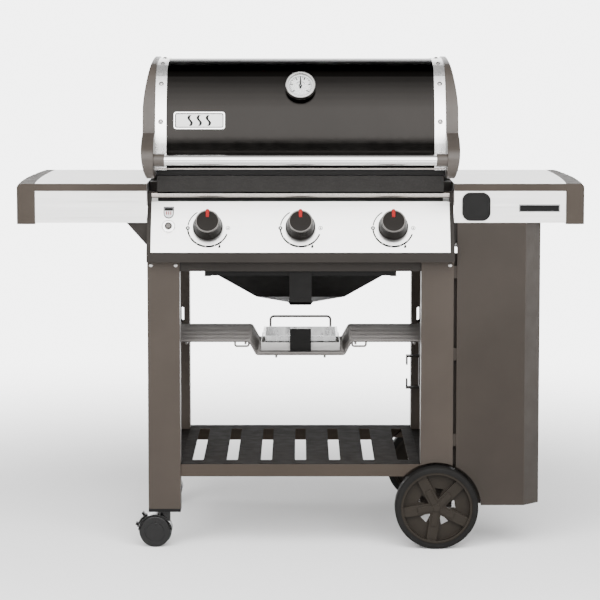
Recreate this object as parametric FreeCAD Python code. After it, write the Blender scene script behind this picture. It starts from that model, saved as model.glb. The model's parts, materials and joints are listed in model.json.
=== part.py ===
import FreeCAD, Part
import math
import os
from FreeCAD import Vector

# Gas barbecue grill on a cart. Millimetres, +Z up, -Y towards the cook, +X to the cook's right.
# The origin is on the floor, under the centre of the whole object.

# ---- overall sizes ----
SHELF_SPAN = 1380.0       # across both side tables
CART_WIDTH = 740.0        # across the outside of the legs
CART_DEPTH = 620.0        # from the front legs' faces to the rear legs' backs
LEG_TOP = 702.0
TABLE_HEIGHT = 889.0
WHEEL_PROUD = 24.0        # how far a wheel stands out past the legs
HANDLE_REACH = 76.0       # how far the handle stands out past the front legs
GAP = 0.4                 # clearance between parts that move past each other

# ---- cart ----
LEG_W = 78.0
LEG_D = 55.0
LEG_WALL = 1.5
LEG_BOTTOM = 96.0
CAP_T = 8.0
RAIL_H = 25.0
SHEET = 1.5
SHELF_TOP = 205.0
SHELF_FRONT_LIP = 30.0
SHELF_REAR_LIP = 40.0
SLOT_COUNT = 7
SLOT_PITCH = 84.0
SLOT_W = 27.0
SLOT_END = 64.0
MID_RAIL_TOP = 487.0
LEG_SLOT_IN = 19.0        # the rear legs' hanging slots, from the inner side
LEG_SLOT_W = 8.0
LEG_SLOT_H = 40.0

# ---- wheels and casters ----
WHEEL_R = 101.5
WHEEL_W = 48.0
TYRE_T = 14.0
AXLE_R = 6.0
AXLE_FIT = 0.08
AXLE_INSET = 8.0
ARCH_GAP = 7.0
WHEEL_SPOKES = 5
HUB_TURN = 189.0          # degrees from straight up to the first spoke
SPOKE_W = 25.0
CASTER_R = 38.0
CASTER_W = 46.0
CASTER_TRAIL = 24.0
CASTER_STEM_R = 6.0

# ---- firebox and lid ----
BOX_W = 692.0
BOX_FRONT_SET = 20.0      # cookbox rim behind the front legs' faces
BOX_DEPTH = 512.0
BOX_RIM = 907.0
BOX_LIP_H = 39.0
BOX_LIP_OUT = 40.0
BOX_WALL = 5.0
LID_GAP = 14.0
LID_FRONT_RISE = 64.0
LID_SHEET = 1.6
SHROUD_W = 646.0
TRIM_W = 27.0
CASTING_W = 30.0
CASTING_PROUD = 5.0
HANDLE_BAR_R = 12.5
HANDLE_Z = 949.0
HINGE_PIN_R = 5.0

# ---- control panel ----
PANEL_TILT = 28.0         # degrees back from upright
PANEL_BOTTOM = 725.6
PANEL_SLOPE = 134.0
PANEL_OUT = 30.0          # bottom edge ahead of the front legs' faces
PANEL_W = 720.0
PANEL_CAP = 10.0
KNOB_PITCH = 223.0
KNOB_BASE_R = 36.0
KNOB_FACE_R = 29.0
KNOB_LENGTH = 43.0
KNOB_UP = 64.0            # knob centre, up the slope from the bottom edge
STEM_R = 4.0
KNOB_TRAVEL = 3.0
FLAT_START = 8.0          # where the knob's flat begins, off the panel
BUTTON_X = -318.0
BUTTON_R = 9.0
BUTTON_TRAVEL = 4.0

# ---- side tables ----
TABLE_DEPTH = 561.0
TRIM_H = 17.5
SKIRT_H = 76.5
END_CAP_DROP = 3.5

# ---- grease management ----
TRAY_W = 458.0
TRAY_TOP = 677.0
TRAY_LIP = 13.0
FOIL_W = 196.0
FOIL_D = 210.0
FOIL_H = 34.0
WIRE_R = 3.0
RACK_W = 580.0
RACK_DIP_W = 224.0
RACK_DIP = 33.0
RACK_WIRES = 13
RACK_FRONT = 45.0         # the rack ahead of the catch pan
RACK_REAR = 80.0          # and behind it

# ---- places worked out from the sizes above ----
REACH = (CART_DEPTH + WHEEL_PROUD + HANDLE_REACH) / 2.0
FRONT = -REACH + HANDLE_REACH
BACK = FRONT + CART_DEPTH
LEG_IN = CART_WIDTH / 2.0 - LEG_W
LEG_OUT = CART_WIDTH / 2.0
LEG_MID = CART_WIDTH / 2.0 - LEG_W / 2.0
SIDE_RAIL_X = LEG_IN + 21.0
SIDE_RAIL_W = 34.0
HOPPER_TOP = LEG_TOP + 33.0
HOPPER_END = TRAY_TOP + 7.0
AXLE_X = LEG_MID
ARCH_BACK = FRONT + WHEEL_W - WHEEL_PROUD + 3.0
CASTER_X = -LEG_MID
CASTER_Y = FRONT + LEG_D / 2.0
BOX_HALF = BOX_W / 2.0
BOX_Y0 = FRONT + BOX_FRONT_SET
BOX_Y1 = BOX_Y0 + BOX_DEPTH
LID_Z0 = BOX_RIM + LID_GAP
SHROUD_HALF = SHROUD_W / 2.0
CASTING_IN = BOX_HALF + 4.0
CASTING_OUT = CASTING_IN + CASTING_W
HINGE_Y = BOX_Y1 + 26.0
HINGE_Z = BOX_RIM + 3.0
TABLE_IN = LEG_OUT
TABLE_OUT = SHELF_SPAN / 2.0
TABLE_Y0 = FRONT
TABLE_Y1 = FRONT + TABLE_DEPTH
TILT = math.radians(PANEL_TILT)
PANEL_UP = Vector(0, math.sin(TILT), math.cos(TILT))
PANEL_NORMAL = Vector(0, -math.cos(TILT), math.sin(TILT))
PANEL_FOOT = Vector(0, FRONT - PANEL_OUT, PANEL_BOTTOM)
KNOBS = (("left", -KNOB_PITCH), ("centre", 0.0), ("right", KNOB_PITCH))
X, Y, Z = Vector(1, 0, 0), Vector(0, 1, 0), Vector(0, 0, 1)


# ---- helpers ----
def box(x0, x1, y0, y1, z0, z1):
    """A block between two corners."""
    x0, x1 = sorted((x0, x1))
    y0, y1 = sorted((y0, y1))
    z0, z1 = sorted((z0, z1))
    return Part.makeBox(x1 - x0, y1 - y0, z1 - z0, Vector(x0, y0, z0))


def rod(start, end, radius):
    """A round bar from start to end."""
    along = end - start
    return Part.makeCylinder(radius, along.Length, start, along)


def prism(points, along):
    """A flat outline pushed along a vector."""
    closed = Part.makePolygon([Vector(*p) for p in points] + [Vector(*points[0])])
    return Part.Face(closed).extrude(along)


def tube_box(x0, x1, y0, y1, z0, z1, wall, axis="z"):
    """A square tube, open along the named axis."""
    inner = {
        "z": (x0 + wall, x1 - wall, y0 + wall, y1 - wall, z0, z1),
        "y": (x0 + wall, x1 - wall, y0, y1, z0 + wall, z1 - wall),
        "x": (x0, x1, y0 + wall, y1 - wall, z0 + wall, z1 - wall),
    }[axis]
    return box(x0, x1, y0, y1, z0, z1).cut(box(*inner))


def joined(shapes):
    """One solid from overlapping or touching solids."""
    whole = shapes[0]
    if len(shapes) > 1:
        whole = whole.multiFuse(list(shapes[1:]))
    return whole.removeSplitter()


def mirrored(shape):
    """The same piece on the other side of the object."""
    return shape.mirror(Vector(0, 0, 0), X)


def mirrored_y(shape):
    """The same piece at the other end of the cart's depth."""
    return shape.mirror(Vector(0, (FRONT + BACK) / 2.0, 0), Y)


def wire_rod(points, radius, bend):
    """A bent round wire: straight runs joined by arcs of one bend radius."""
    points = [Vector(*p) for p in points]
    edges, last = [], points[0]
    for before, corner, after in zip(points, points[1:], points[2:]):
        back, ahead = (before - corner).normalize(), (after - corner).normalize()
        turn = math.pi - back.getAngle(ahead)
        reach = bend * math.tan(turn / 2.0)
        enter, leave = corner + back * reach, corner + ahead * reach
        middle = (back + ahead).normalize()
        centre = corner + middle * (bend / math.cos(turn / 2.0))
        edges.append(Part.LineSegment(last, enter).toShape())
        edges.append(Part.Arc(enter, centre - middle * bend, leave).toShape())
        last = leave
    edges.append(Part.LineSegment(last, points[-1]).toShape())
    path = Part.Wire(edges)
    circle = Part.Wire(Part.makeCircle(radius, points[0], points[1] - points[0]))
    return path.makePipeShell([circle], True, True)


def rounded(shape, radius, pick):
    """Fillets the edges that pick accepts."""
    edges = [e for e in shape.Edges if pick(e)]
    return shape.makeFillet(radius, edges)


def along_z(edge):
    """True for a straight upright edge."""
    ends = [v.Point for v in edge.Vertexes]
    return len(ends) == 2 and (ends[1] - ends[0]).cross(Z).Length < 1e-6


def along_y(edge):
    """True for an edge that runs front to back."""
    return abs(edge.tangentAt(edge.FirstParameter).y) > 0.99


def on_panel(x, up, out):
    """A point on the control panel: across, up the slope and out from its face."""
    return PANEL_FOOT + Vector(x, 0, 0) + PANEL_UP * up + PANEL_NORMAL * out


def save(node, solids):
    """Writes one node's solids to its own file."""
    if not isinstance(solids, (list, tuple)):
        solids = [solids]
    pieces = [s for solid in solids for s in solid.Solids]
    shape = pieces[0] if len(pieces) == 1 else Part.makeCompound(pieces)
    shape.exportStep("parts/" + node + ".step")


# ---- cart ----
def leg(front, wheel):
    """One folded-sheet leg; a wheel leg is arched clear of its tyre and carries the axle."""
    shape = tube_box(LEG_IN, LEG_OUT, FRONT, FRONT + LEG_D, LEG_BOTTOM, LEG_TOP, LEG_WALL)
    shape = joined([shape, box(LEG_IN, LEG_OUT, FRONT, FRONT + LEG_D, LEG_TOP - LEG_WALL, LEG_TOP)])
    if wheel:
        keep = ARCH_BACK
        low = WHEEL_R - 3.0 * AXLE_R
        plate = box(LEG_IN, LEG_OUT, keep, FRONT + LEG_D, low, WHEEL_R + WHEEL_R + 2 * ARCH_GAP)
        arch = rod(Vector(AXLE_X, FRONT - 1, WHEEL_R), Vector(AXLE_X, keep, WHEEL_R), WHEEL_R + ARCH_GAP)
        bore = rod(Vector(AXLE_X, keep - 1, WHEEL_R), Vector(AXLE_X, BACK, WHEEL_R), AXLE_R)
        below = box(LEG_IN, LEG_OUT, FRONT - 1, keep, 0, WHEEL_R)
        shape = joined([shape.cut(arch).cut(below), plate]).cut(bore)
    else:
        shape = mirrored(shape)
    if front:
        return shape
    x = LEG_IN + LEG_SLOT_IN if wheel else -LEG_IN - LEG_SLOT_IN
    slot = box(x - LEG_SLOT_W / 2, x + LEG_SLOT_W / 2, BACK - LEG_D - 1, BACK + 1, MID_RAIL_TOP,
               MID_RAIL_TOP + LEG_SLOT_H)
    return mirrored_y(shape).cut(rounded(slot, LEG_SLOT_W / 2 - 0.2, along_y))


def leg_cap():
    """The plastic block that closes a caster leg and holds the caster's stem."""
    lower = box(-LEG_OUT, -LEG_IN, FRONT, FRONT + LEG_D, LEG_BOTTOM - CAP_T, LEG_BOTTOM)
    plug = box(-LEG_OUT + LEG_WALL, -LEG_IN - LEG_WALL, FRONT + LEG_WALL, FRONT + LEG_D - LEG_WALL,
               LEG_BOTTOM, LEG_BOTTOM + 3 * CAP_T)
    socket = rod(Vector(CASTER_X, CASTER_Y, 0), Vector(CASTER_X, CASTER_Y, LEG_BOTTOM + 2 * CAP_T),
                 CASTER_STEM_R + AXLE_FIT)
    return joined([lower, plug]).cut(socket)


def frame_rails():
    """Top, middle and tray-carrying rails between the legs."""
    y0, y1 = FRONT + LEG_D, BACK - LEG_D
    cross = tube_box(-LEG_IN, LEG_IN, FRONT + 5, FRONT + 5 + RAIL_H, LEG_TOP - RAIL_H, LEG_TOP, LEG_WALL, "x")
    right = [tube_box(SIDE_RAIL_X, SIDE_RAIL_X + SIDE_RAIL_W, y0, y1, top - RAIL_H, top, LEG_WALL, "y")
             for top in (LEG_TOP, MID_RAIL_TOP)]
    right.append(tray_runner())
    return [cross, mirrored_y(cross)] + right + [mirrored(rail) for rail in right]


def tray_runner():
    """An angle under the firebox that the grease tray's right lip slides on."""
    x1 = TRAY_W / 2.0
    y0, y1 = FRONT + 5 + RAIL_H, BACK - 5 - RAIL_H
    ledge = box(x1 - 12, x1 + 4, y0, y1, TRAY_TOP - TRAY_LIP - SHEET, TRAY_TOP - TRAY_LIP)
    web = box(x1 + GAP, x1 + GAP + 2 * SHEET, y0, y1, TRAY_TOP - TRAY_LIP - SHEET, HOPPER_END + 4)
    return joined([ledge, web])


def arch_liner(x0, x1, y0, z0, z1):
    """The wall and back of the front wheel's arch, within some bounds."""
    hub_at, radius = Vector(AXLE_X, 0, WHEEL_R), WHEEL_R + ARCH_GAP
    outer = rod(hub_at + Y * y0, hub_at + Y * (ARCH_BACK + SHEET), radius + SHEET)
    inner = rod(hub_at + Y * (y0 - 1), hub_at + Y * ARCH_BACK, radius)
    return outer.cut(inner).common(box(x0, x1, y0, ARCH_BACK + SHEET, z0, z1))


def bottom_shelf():
    """Slotted steel shelf, folded down at the front, back and sides."""
    x1 = LEG_IN
    y0, y1 = FRONT + 5, BACK - 5
    plate = box(-x1, x1, y0, y1, SHELF_TOP - SHEET, SHELF_TOP)
    for i in range(SLOT_COUNT):
        x = (i - (SLOT_COUNT - 1) / 2.0) * SLOT_PITCH
        slot = box(x - SLOT_W / 2, x + SLOT_W / 2, y0 + SLOT_END, y1 - SLOT_END, 0, SHELF_TOP + 1)
        plate = plate.cut(rounded(slot, 4.0, along_z))
    lips = [box(-x1, x1, y0, y0 + SHEET, SHELF_TOP - SHELF_FRONT_LIP, SHELF_TOP),
            box(-x1, x1, y1 - SHEET, y1, SHELF_TOP - SHELF_REAR_LIP, SHELF_TOP)]
    hem = [box(-x1, x1, y0, y0 + 12, SHELF_TOP - SHELF_FRONT_LIP, SHELF_TOP - SHELF_FRONT_LIP + SHEET)]
    sides = [box(s * x1, s * (x1 - SHEET), y0, y1, SHELF_TOP - SHELF_FRONT_LIP, SHELF_TOP) for s in (-1, 1)]
    beams = [tube_box(-x1 - 45, -x1, FRONT + LEG_D, BACK - LEG_D, SHELF_TOP - 28, SHELF_TOP - 3, LEG_WALL,
                      "y")]
    beams.append(mirrored(beams[0]))
    arch = rod(Vector(AXLE_X, FRONT - 1, WHEEL_R), Vector(AXLE_X, ARCH_BACK, WHEEL_R), WHEEL_R + ARCH_GAP)
    folded = joined([plate] + lips + hem + sides + beams).cut(arch).cut(mirrored_y(arch))
    liner = arch_liner(0, x1, y0, SHELF_TOP - SHELF_FRONT_LIP, SHELF_TOP)
    return joined([folded, liner, mirrored_y(liner)])


def cart_bolts():
    """Domed bolt heads on the legs' faces and sides."""
    bolts = []
    for x, z in ((-LEG_OUT + 9, LEG_TOP - 10), (-LEG_IN - 9, LEG_TOP - 10), (LEG_OUT - 9, LEG_TOP - 10)):
        ball = Part.makeSphere(6.0, Vector(x, FRONT + 3.5, z))
        bolts.append(ball.common(box(x - 9, x + 9, FRONT - 9, FRONT, z - 9, z + 9)))
        bolts.append(mirrored_y(bolts[-1]))
    return bolts


def wheel_axle():
    """One steel axle through both wheel legs, with a head outside each wheel."""
    y0, y1 = FRONT - WHEEL_PROUD + AXLE_INSET, BACK + WHEEL_PROUD - AXLE_INSET
    return rod(Vector(AXLE_X, y0, WHEEL_R), Vector(AXLE_X, y1, WHEEL_R), AXLE_R)


# ---- wheels and casters ----
def wheel_hub():
    """A moulded hub: rim, dished web, broad spokes with a raised star, and a bored centre."""
    y0, y1 = FRONT - WHEEL_PROUD, FRONT - WHEEL_PROUD + WHEEL_W
    hub_r, centre = WHEEL_R - TYRE_T, Vector(AXLE_X, 0, WHEEL_R)

    def disc(radius, start, end):
        return rod(centre + Y * start, centre + Y * end, radius)

    rim = disc(hub_r, y0 + 3, y1 - 3).cut(disc(hub_r - 6, y0, y1))
    web = disc(hub_r - 5, y0 + 22, y0 + 27)
    boss = disc(17, y0 + 12, y1 - 1)
    cap = disc(9, y0 + 4, y0 + 13)
    spokes, windows = [], []
    for i in range(WHEEL_SPOKES):
        angle = HUB_TURN + 360.0 * i / WHEEL_SPOKES
        parts = (box(-SPOKE_W / 2, SPOKE_W / 2, y0 + 10, y0 + 23, 0, hub_r - 4),
                 box(-7, 7, y0 + 7, y0 + 12, 0, 46))
        for block in parts:
            block.rotate(Vector(0, 0, 0), Y, angle)
            block.translate(centre)
            spokes.append(block)
        window = prism([(-3, y0, 24), (3, y0, 24), (10, y0, 45), (-10, y0, 45)], Y * WHEEL_W)
        window.rotate(Vector(0, 0, 0), Y, angle + 180.0 / WHEEL_SPOKES)
        window.translate(centre)
        windows.append(window)
    hub = joined([rim, web.cut(windows), boss, cap] + spokes)
    return hub.cut(disc(AXLE_R + AXLE_FIT, y0 + AXLE_INSET - 0.5, y1 + 1))


def wheel_tyre():
    """A solid rubber tyre with rounded shoulders."""
    y0, y1 = FRONT - WHEEL_PROUD, FRONT - WHEEL_PROUD + WHEEL_W
    outer = rod(Vector(AXLE_X, y0, WHEEL_R), Vector(AXLE_X, y1, WHEEL_R), WHEEL_R)
    outer = outer.makeFillet(TYRE_T * 0.6, [e for e in outer.Edges if len(e.Vertexes) == 1])
    return outer.cut(rod(Vector(AXLE_X, y0 - 1, WHEEL_R), Vector(AXLE_X, y1 + 1, WHEEL_R), WHEEL_R - TYRE_T))


def caster_disc(radius, y0, y1):
    """A disc on the caster wheel's axis, between two distances from the caster's middle."""
    centre = Vector(CASTER_X - CASTER_TRAIL, CASTER_Y, CASTER_R)
    return rod(centre + Y * y0, centre + Y * y1, radius)


def caster_housing():
    """Stem, hood and the web between the twin wheels."""
    x, half = CASTER_X - CASTER_TRAIL, CASTER_W / 2.0
    stem = rod(Vector(CASTER_X, CASTER_Y, 70), Vector(CASTER_X, CASTER_Y, LEG_BOTTOM + 2 * CAP_T - 1),
               CASTER_STEM_R)
    column = rod(Vector(CASTER_X, CASTER_Y, 48), Vector(CASTER_X, CASTER_Y, LEG_BOTTOM - CAP_T - 1), 13)
    hood = caster_disc(CASTER_R + 4, -half + 2, half - 2).cut(caster_disc(CASTER_R + 1, -half, half))
    hood = hood.cut(box(x - 60, x + 60, CASTER_Y - half, CASTER_Y + half, -10, CASTER_R + 4))
    web = caster_disc(CASTER_R + 2, -5, 5).cut(box(x - 60, x + 60, CASTER_Y - 9, CASTER_Y + 9, -10, 14))
    body = joined([hood, web, column.cut(caster_disc(CASTER_R + 1, -half, -5)).cut(
        caster_disc(CASTER_R + 1, 5, half)), stem])
    return body.cut(caster_disc(4 + AXLE_FIT, -half, half))


def caster_wheels():
    """Twin wheels on one short spindle."""
    half = CASTER_W / 2.0
    pieces = [caster_disc(4, -half + 1, half - 1)]
    for side in (-1, 1):
        y0, y1 = sorted((side * (5 + GAP), side * (half - 0.5)))
        wheel = caster_disc(CASTER_R, y0, y1)
        wheel = wheel.makeFillet(3, [e for e in wheel.Edges if len(e.Vertexes) == 1])
        face = sorted((side * (half - 3), side * (half + 1)))
        wheel = wheel.cut(caster_disc(25, *face).cut(caster_disc(21, *face)))
        pieces.append(wheel)
    return joined(pieces)


def caster_brake():
    """The pedal that slides round the hood, with a toe at each end."""
    centre = Vector(CASTER_X - CASTER_TRAIL, CASTER_Y, CASTER_R)
    inner, outer = CASTER_R + 4 + GAP, CASTER_R + 8
    ring = caster_disc(outer, -11, 11).cut(caster_disc(inner, -12, 12))
    reach = 2.0 * outer
    wedge = prism([(0, 0, 0)] + [(reach * math.cos(math.radians(a)), 0, reach * math.sin(math.radians(a)))
                                 for a in (118, 142, 167)], Y * 30)
    wedge.translate(centre - Y * 15)
    toes = []
    for angle, tip in ((125, CASTER_R + 17), (160, CASTER_R + 13)):
        toe = box(inner + 1, tip, -9, 9, -3, 3)
        toe.rotate(Vector(0, 0, 0), Y, -angle)
        toe.translate(centre)
        toes.append(toe)
    return joined([ring.common(wedge)] + toes)


# ---- firebox ----
BOX_WALL_Y0 = BOX_Y0 + BOX_LIP_OUT
GRATE_TOP = BOX_RIM - 12.0
GRATE_T = 13.0
TAMER_FOOT = 815.0
BURNER_Z = 775.0
BURNER_R = 14.0
MANIFOLD_R = 10.0
MANIFOLD_AT = Vector(0, FRONT + 32.0, 742.0)
INLET_R = 7.9
ELBOW_X = LEG_OUT + 18.0
ELBOW_HALF = 9.0
INLET_LENGTH = 17.0


def slab(x1, y0, y1, z):
    """A rectangular wire at one height, centred in X."""
    points = [Vector(-x1, y0, z), Vector(x1, y0, z), Vector(x1, y1, z), Vector(-x1, y1, z)]
    return Part.makePolygon(points + points[:1])


def hollow_loft(levels, wall):
    """A sheet funnel through rectangles (half width, y0, y1, z), open at both ends."""
    outer = Part.makeLoft([slab(*level) for level in levels], True, True)
    shrunk = [(x1 - wall, y0 + wall, y1 - wall, z) for x1, y0, y1, z in levels]
    return outer.cut(Part.makeLoft([slab(*level) for level in shrunk], True, True))


def cookbox():
    """The cast firebox: four walls, a front lip, ledges, a tapering floor and feet on the rails."""
    y0, y1, x1 = BOX_WALL_Y0, BOX_Y1, BOX_HALF
    walls = tube_box(-x1, x1, y0, y1, HOPPER_TOP, BOX_RIM, BOX_WALL)
    for _, x in KNOBS:
        walls = walls.cut(rod(Vector(x, y0 - 1, BURNER_Z), Vector(x, y0 + 20, BURNER_Z), BURNER_R + 2))
    lip = box(-x1, x1, BOX_Y0, y0 + 1, BOX_RIM - BOX_LIP_H, BOX_RIM)
    lip = lip.cut(box(-x1 + BOX_WALL, x1 - BOX_WALL, BOX_Y0 + BOX_WALL, y0 + 2, 0, BOX_RIM - BOX_WALL))
    ledges = []
    for z in (GRATE_TOP - GRATE_T, TAMER_FOOT):
        ledges.append(box(-x1 + 1, x1 - 1, y0 + BOX_WALL - 1, y0 + BOX_WALL + 14, z - 7, z))
        ledges.append(box(-x1 + 1, x1 - 1, y1 - BOX_WALL - 14, y1 - BOX_WALL + 1, z - 7, z))
    opening = TRAY_W / 2.0 - 16
    floor = hollow_loft([(x1, y0, y1, HOPPER_TOP), (opening, y0 + 70, y1 - 70, HOPPER_END)], BOX_WALL)
    feet = [box(s * (SIDE_RAIL_X + 2), s * (x1 - 1), y, y + 40, LEG_TOP, HOPPER_TOP + 2)
            for s in (-1, 1) for y in (y0, y1 - 40)]
    return joined([walls, lip, floor] + ledges + feet)


def cooking_grates():
    """Two cast grates side by side."""
    y0, y1 = BOX_WALL_Y0 + BOX_WALL + 2, BOX_Y1 - BOX_WALL - 2
    inner, bars, bar_w = BOX_HALF - BOX_WALL - 2, 20, 8.0
    z0 = GRATE_TOP - GRATE_T
    grates = []
    for side in (-1, 1):
        pitch = (inner - 1 - bar_w) / (bars - 1)
        pieces = [box(side * (1 + i * pitch), side * (1 + i * pitch + bar_w), y0, y1, z0, GRATE_TOP)
                  for i in range(bars)]
        pieces += [box(side, side * inner, y, y + 9, z0, GRATE_TOP - 3)
                   for y in (y0, (y0 + y1) / 2.0 - 4.5, y1 - 9)]
        grates.append(joined(pieces))
    return grates


def flame_tamers():
    """Five ridged steel bars over the burners."""
    y0, y1 = BOX_WALL_Y0 + BOX_WALL + 1, BOX_Y1 - BOX_WALL - 1
    pitch, half, rise = (BOX_W - 2 * BOX_WALL) / 5.0, 44.0, 34.0
    bars = []
    for i in range(5):
        x = (i - 2) * pitch
        outer = prism([(x - half, y0, TAMER_FOOT), (x, y0, TAMER_FOOT + rise), (x + half, y0, TAMER_FOOT)],
                      Y * (y1 - y0))
        inner = prism([(x - half + 3, y0, TAMER_FOOT - 0.1), (x, y0, TAMER_FOOT + rise - 2.4),
                       (x + half - 3, y0, TAMER_FOOT - 0.1)], Y * (y1 - y0))
        bars.append(outer.cut(inner))
    return bars


def burners():
    """Three tube burners through the front wall."""
    tubes = []
    for _, x in KNOBS:
        start, end = Vector(x, BOX_WALL_Y0 - 12, BURNER_Z), Vector(x, BOX_Y1 - BOX_WALL, BURNER_Z)
        tube = rod(start, end, BURNER_R).cut(rod(start, end - Y * 3, BURNER_R - 1.5))
        tubes.append(tube)
    return tubes


def igniter_electrodes():
    """A ceramic electrode clipped beside each burner."""
    pieces = []
    for _, x in KNOBS:
        y = BOX_WALL_Y0 + 79.0
        clip = box(x + BURNER_R - 0.5, x + BURNER_R + 14, y - 5, y + 5, BURNER_Z - 2, BURNER_Z + 2)
        clip = clip.cut(rod(Vector(x, y - 9, BURNER_Z), Vector(x, y + 9, BURNER_Z), BURNER_R))
        pin = rod(Vector(x + BURNER_R + 10, y, BURNER_Z), Vector(x + BURNER_R + 10, y, BURNER_Z + 24), 3)
        pieces.append(joined([clip, pin]))
    return pieces


def gas_manifold():
    """The pipe that feeds the valves, with an elbow at the right end and its inlet to the rear."""
    x0, x1 = -KNOB_PITCH - 30, LEG_OUT - 40
    pipe = rod(MANIFOLD_AT + X * x0, MANIFOLD_AT + X * x1, MANIFOLD_R)
    nut = rod(MANIFOLD_AT + X * (x1 - 1), MANIFOLD_AT + X * (LEG_OUT + 1), MANIFOLD_R + 3)
    elbow = MANIFOLD_AT + X * ELBOW_X
    branch = rod(MANIFOLD_AT + X * x1, elbow, INLET_R)
    corner = box(ELBOW_X - ELBOW_HALF, ELBOW_X + ELBOW_HALF, elbow.y - ELBOW_HALF, elbow.y + ELBOW_HALF,
                 elbow.z - ELBOW_HALF, elbow.z + ELBOW_HALF)
    inlet = rod(elbow, elbow + Y * (ELBOW_HALF + INLET_LENGTH), INLET_R)
    bores = [rod(MANIFOLD_AT + X * (x0 + 4), elbow, INLET_R - 3),
             rod(elbow - Y * (INLET_R - 3), elbow + Y * (ELBOW_HALF + INLET_LENGTH + 1), INLET_R - 3)]
    return joined([pipe, nut, branch, corner, inlet]).cut(bores)


def gas_valve(x):
    """One valve: body behind the panel, spud to the burner and saddle on the manifold."""
    seat = on_panel(x, KNOB_UP, -22)
    body = rod(on_panel(x, KNOB_UP, -7), on_panel(x, KNOB_UP, -38), 11)
    tail = on_panel(x, KNOB_UP, -32)
    spud = rod(tail, Vector(x, BOX_WALL_Y0 - 14, tail.z), 5)
    saddle = rod(seat, Vector(x, MANIFOLD_AT.y, MANIFOLD_AT.z), 7)
    pipe = rod(MANIFOLD_AT + X * (x - 20), MANIFOLD_AT + X * (x + 20), MANIFOLD_R)
    bore = rod(on_panel(x, KNOB_UP, 0), on_panel(x, KNOB_UP, -34), STEM_R + AXLE_FIT)
    return joined([body, spud, saddle]).cut(pipe).cut(bore)


def valve_stem(x):
    """A round stem with a flat for the knob."""
    stem = rod(on_panel(x, KNOB_UP, -33), on_panel(x, KNOB_UP, KNOB_LENGTH - 12), STEM_R)
    return stem.cut(stem_flat(x, 0.0, FLAT_START - KNOB_TRAVEL - GAP))


def stem_flat(x, clearance, start):
    """The block above the stem's flat from a height off the panel; a clearance raises it."""
    block = box(-9, 9, STEM_R * 0.55 + clearance, 3 * STEM_R, start, KNOB_LENGTH)
    # the block is drawn with its length along Z, then leaned to stand on the panel
    block.rotate(Vector(0, 0, 0), X, 90 - PANEL_TILT)
    block.translate(on_panel(x, KNOB_UP, 0))
    return block


def knob(x):
    """A round control knob, bored for the stem."""
    base = KNOB_TRAVEL + 1.0
    skirt = rod(on_panel(x, KNOB_UP, base), on_panel(x, KNOB_UP, base + 7), KNOB_BASE_R)
    cone = Part.makeCone(KNOB_BASE_R - 1.5, KNOB_FACE_R, KNOB_LENGTH - base - 7,
                         on_panel(x, KNOB_UP, base + 7), PANEL_NORMAL)
    body = joined([skirt, cone])
    body = body.makeFillet(2.0, [e for e in body.Edges if len(e.Vertexes) == 1
                                 and (e.CenterOfMass - on_panel(x, KNOB_UP, KNOB_LENGTH)).Length < 1.0])
    fit = 0.06
    bore = rod(on_panel(x, KNOB_UP, 0), on_panel(x, KNOB_UP, KNOB_LENGTH - 8), STEM_R + fit)
    return body.cut(bore.cut(stem_flat(x, fit, FLAT_START)))


# ---- control panel ----
PANEL_HALF = PANEL_W / 2.0
TOP_RAIL_Z = 852.0
TOP_RAIL_H = 16.0
BUTTON_UP = 67.0


def control_panel():
    """The leaning steel face, with holes for the stems and the push button."""
    profile = [on_panel(-PANEL_HALF, up, out) for up, out in
               ((0, 0), (PANEL_SLOPE, 0), (PANEL_SLOPE, -SHEET), (0, -SHEET))]
    face = prism([tuple(p) for p in profile], X * PANEL_W)
    top = on_panel(0, PANEL_SLOPE, 0)
    flange = box(-PANEL_HALF, PANEL_HALF, top.y + 1, top.y + 16, top.z - SHEET, top.z)
    sheet = joined([face, flange])
    for _, x in KNOBS:
        sheet = sheet.cut(rod(on_panel(x, KNOB_UP, -9), on_panel(x, KNOB_UP, 9), STEM_R + 3))
    return sheet.cut(rod(on_panel(BUTTON_X, BUTTON_UP, -9), on_panel(BUTTON_X, BUTTON_UP, 9), BUTTON_R + 3))


def panel_surround():
    """End caps and the lower rail that the panel stands in."""
    foot, top = on_panel(0, 0, 1.0), on_panel(0, PANEL_SLOPE, 1.0)
    rear = FRONT + 54.0
    outline = [(PANEL_HALF, foot.y, LEG_TOP), (PANEL_HALF, foot.y, foot.z), (PANEL_HALF, top.y, top.z),
               (PANEL_HALF, top.y + 8, TOP_RAIL_Z + TOP_RAIL_H), (PANEL_HALF, rear, TOP_RAIL_Z + TOP_RAIL_H),
               (PANEL_HALF, rear, LEG_TOP)]
    cap = prism(outline, X * PANEL_CAP)
    hole = rod(MANIFOLD_AT + X * (PANEL_HALF - 1), MANIFOLD_AT + X * (LEG_OUT + 1), MANIFOLD_R + 4)
    band = box(-PANEL_HALF, PANEL_HALF, foot.y, foot.y + 2, LEG_TOP, on_panel(0, 0, -SHEET).z)
    floor = box(-PANEL_HALF, PANEL_HALF, foot.y, FRONT + 20, LEG_TOP, LEG_TOP + 2)
    return joined([cap.cut(hole), mirrored(cap), band, floor])


def panel_top_rail():
    """The bullnosed rail along the top of the panel."""
    front = on_panel(0, PANEL_SLOPE, 0).y
    rail = box(-LEG_OUT + PANEL_CAP, LEG_OUT - PANEL_CAP, front, front + 15, TOP_RAIL_Z,
               TOP_RAIL_Z + TOP_RAIL_H)
    return rail.makeFillet(7.0, [e for e in rail.Edges if abs(e.CenterOfMass.y - front) < 1e-3
                                 and e.Length > CART_WIDTH / 2.0])


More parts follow.
